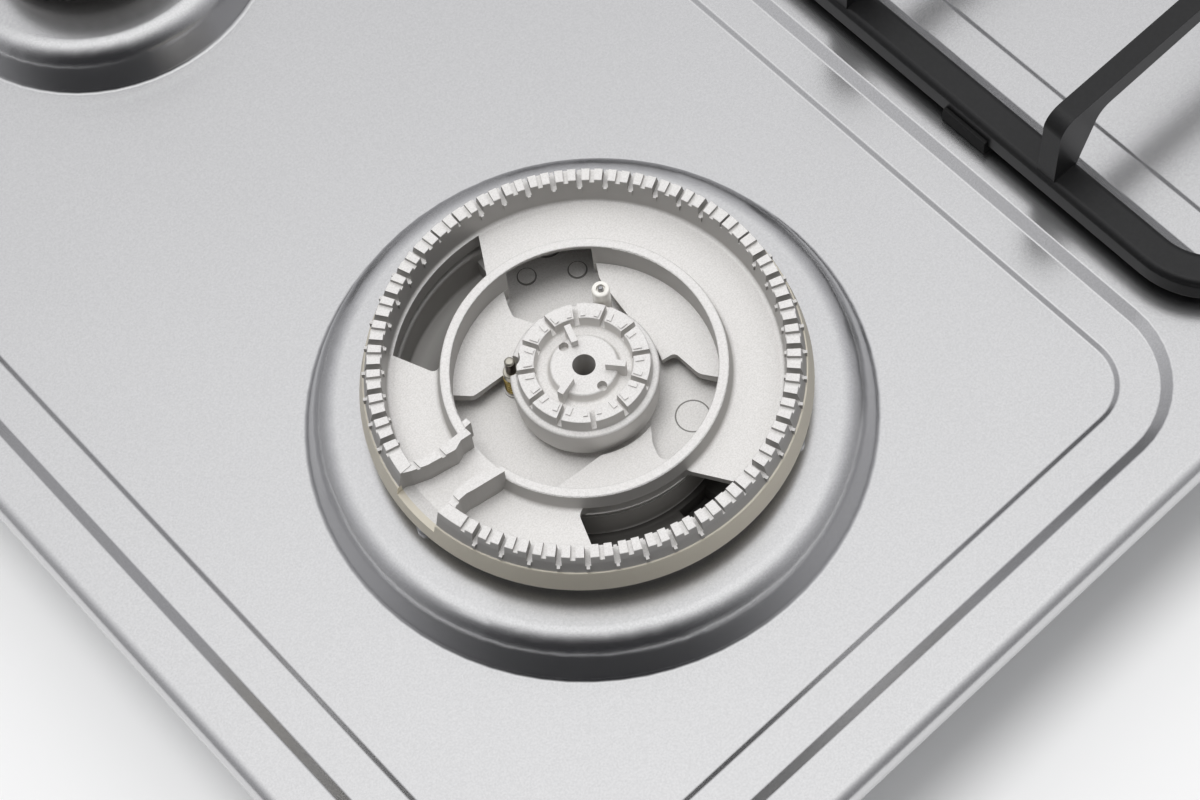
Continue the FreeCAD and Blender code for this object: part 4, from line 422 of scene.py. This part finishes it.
knob_plastic, tree, shader, place = grained("moulded black plastic", "#202022", "#191919", 0.5, 0.42, 0.0, 0.2)
axes = add_node(tree, "ShaderNodeSeparateXYZ", {"Vector": place})
from_half_pitch = add_node(tree, "ShaderNodeMath", {0: axes.outputs["Y"], 1: FIRST_KNOB_Y - KNOB_PITCH / 2},
                           operation="SUBTRACT")
own_y = add_node(tree, "ShaderNodeMath", {0: from_half_pitch.outputs["Value"], 1: KNOB_PITCH},
                 operation="FLOORED_MODULO")
groove = 1.0
for value, middle, half in ((axes.outputs["X"], KNOB_X, GROOVE_HALF[0]),
                            (axes.outputs["Z"], KNOB_TOP - GROOVE_DOWN, GROOVE_HALF[1]),
                            (own_y.outputs["Value"], KNOB_PITCH / 2 - GROOVE_FORWARD, GROOVE_HALF[2])):
    inside = add_node(tree, "ShaderNodeMath", {0: value, 1: middle, 2: half}, operation="COMPARE")
    groove = add_node(tree, "ShaderNodeMath", {0: groove, 1: inside.outputs["Value"]},
                      operation="MULTIPLY").outputs["Value"]
paint(tree, shader, groove, linear("#E9E9E6"))
print("knob paint added")

# %% [markdown]
# ## Dressing the solids
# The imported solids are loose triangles, which shade flat. Each solid that shows gets a copy whose triangles
# are joined, so that its curves shade smoothly and only real edges stay crisp. The copy stands for the solid.
# What is closed in between the plate and the tray only gets its material.

# %% Smooth copies
EDGE_ANGLE = math.radians(32.0)
JOIN_WITHIN = 0.001 * MM

slot_of = {entry["node"]: entry["material_slot"] for entry in frame["record"]["subparts"]}
body_of = {node: body for body, names in frame["record"]["behaviour"]["bodies"].items() for node in names}


def dress(name, finish):
    piece = bpy.data.objects.new(name + "_dressed", nodes[name].data.copy())
    scene.collection.objects.link(piece)
    bpy.ops.object.select_all(action="DESELECT")
    piece.select_set(True)
    bpy.context.view_layer.objects.active = piece
    bpy.ops.mesh.customdata_custom_splitnormals_clear()
    bpy.ops.object.mode_set(mode="EDIT")
    bpy.ops.mesh.select_all(action="SELECT")
    bpy.ops.mesh.remove_doubles(threshold=JOIN_WITHIN)
    bpy.ops.object.mode_set(mode="OBJECT")
    bpy.ops.object.shade_smooth_by_angle(angle=EDGE_ANGLE)
    bpy.ops.object.modifier_add(type="WEIGHTED_NORMAL")
    piece.modifiers[0].keep_sharp = True
    bpy.ops.object.modifier_apply(modifier=piece.modifiers[0].name)
    piece.data.materials.clear()
    piece.data.materials.append(finish)
    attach(piece, body_of[name])
    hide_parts(name)


print("slots", sorted(set(slot_of.values())))

# %% Dress every solid
finish_of_slot = {"stainless": satin_steel, "galvanised": zinc_sheet, "screw_steel": plain_steel,
                  "cast_aluminium": blasted, "pipe_aluminium": tube_aluminium, "enamel": enamel,
                  "ceramic": ceramic, "brass": brass, "rubber": rubber, "plastic": knob_plastic}
own_finish = {"wok_spreader": ring_casting, "wok_cup": wok_cup_casting, "wok_crown": crown_casting,
              "wok_thermocouple": wok_probe, "wok_thermocouple_spring": spring_brass}
for burner in ("back_left", "back_right", "front_right"):
    own_finish["cup_" + burner] = cup_casting
    own_finish["thermocouple_" + burner] = small_probe
closed_in = ("tap_", "push_rod", "spindle", "gas_rail", "feed_pipe", "injectors", "spark_generator",
             "tray_posts")
for name in sorted(nodes):
    finish = own_finish.get(name, finish_of_slot[slot_of[name]])
    if name.startswith(closed_in):
        nodes[name].data.materials.clear()
        nodes[name].data.materials.append(finish)
    else:
        dress(name, finish)
print("dressed", len(nodes), "solids")
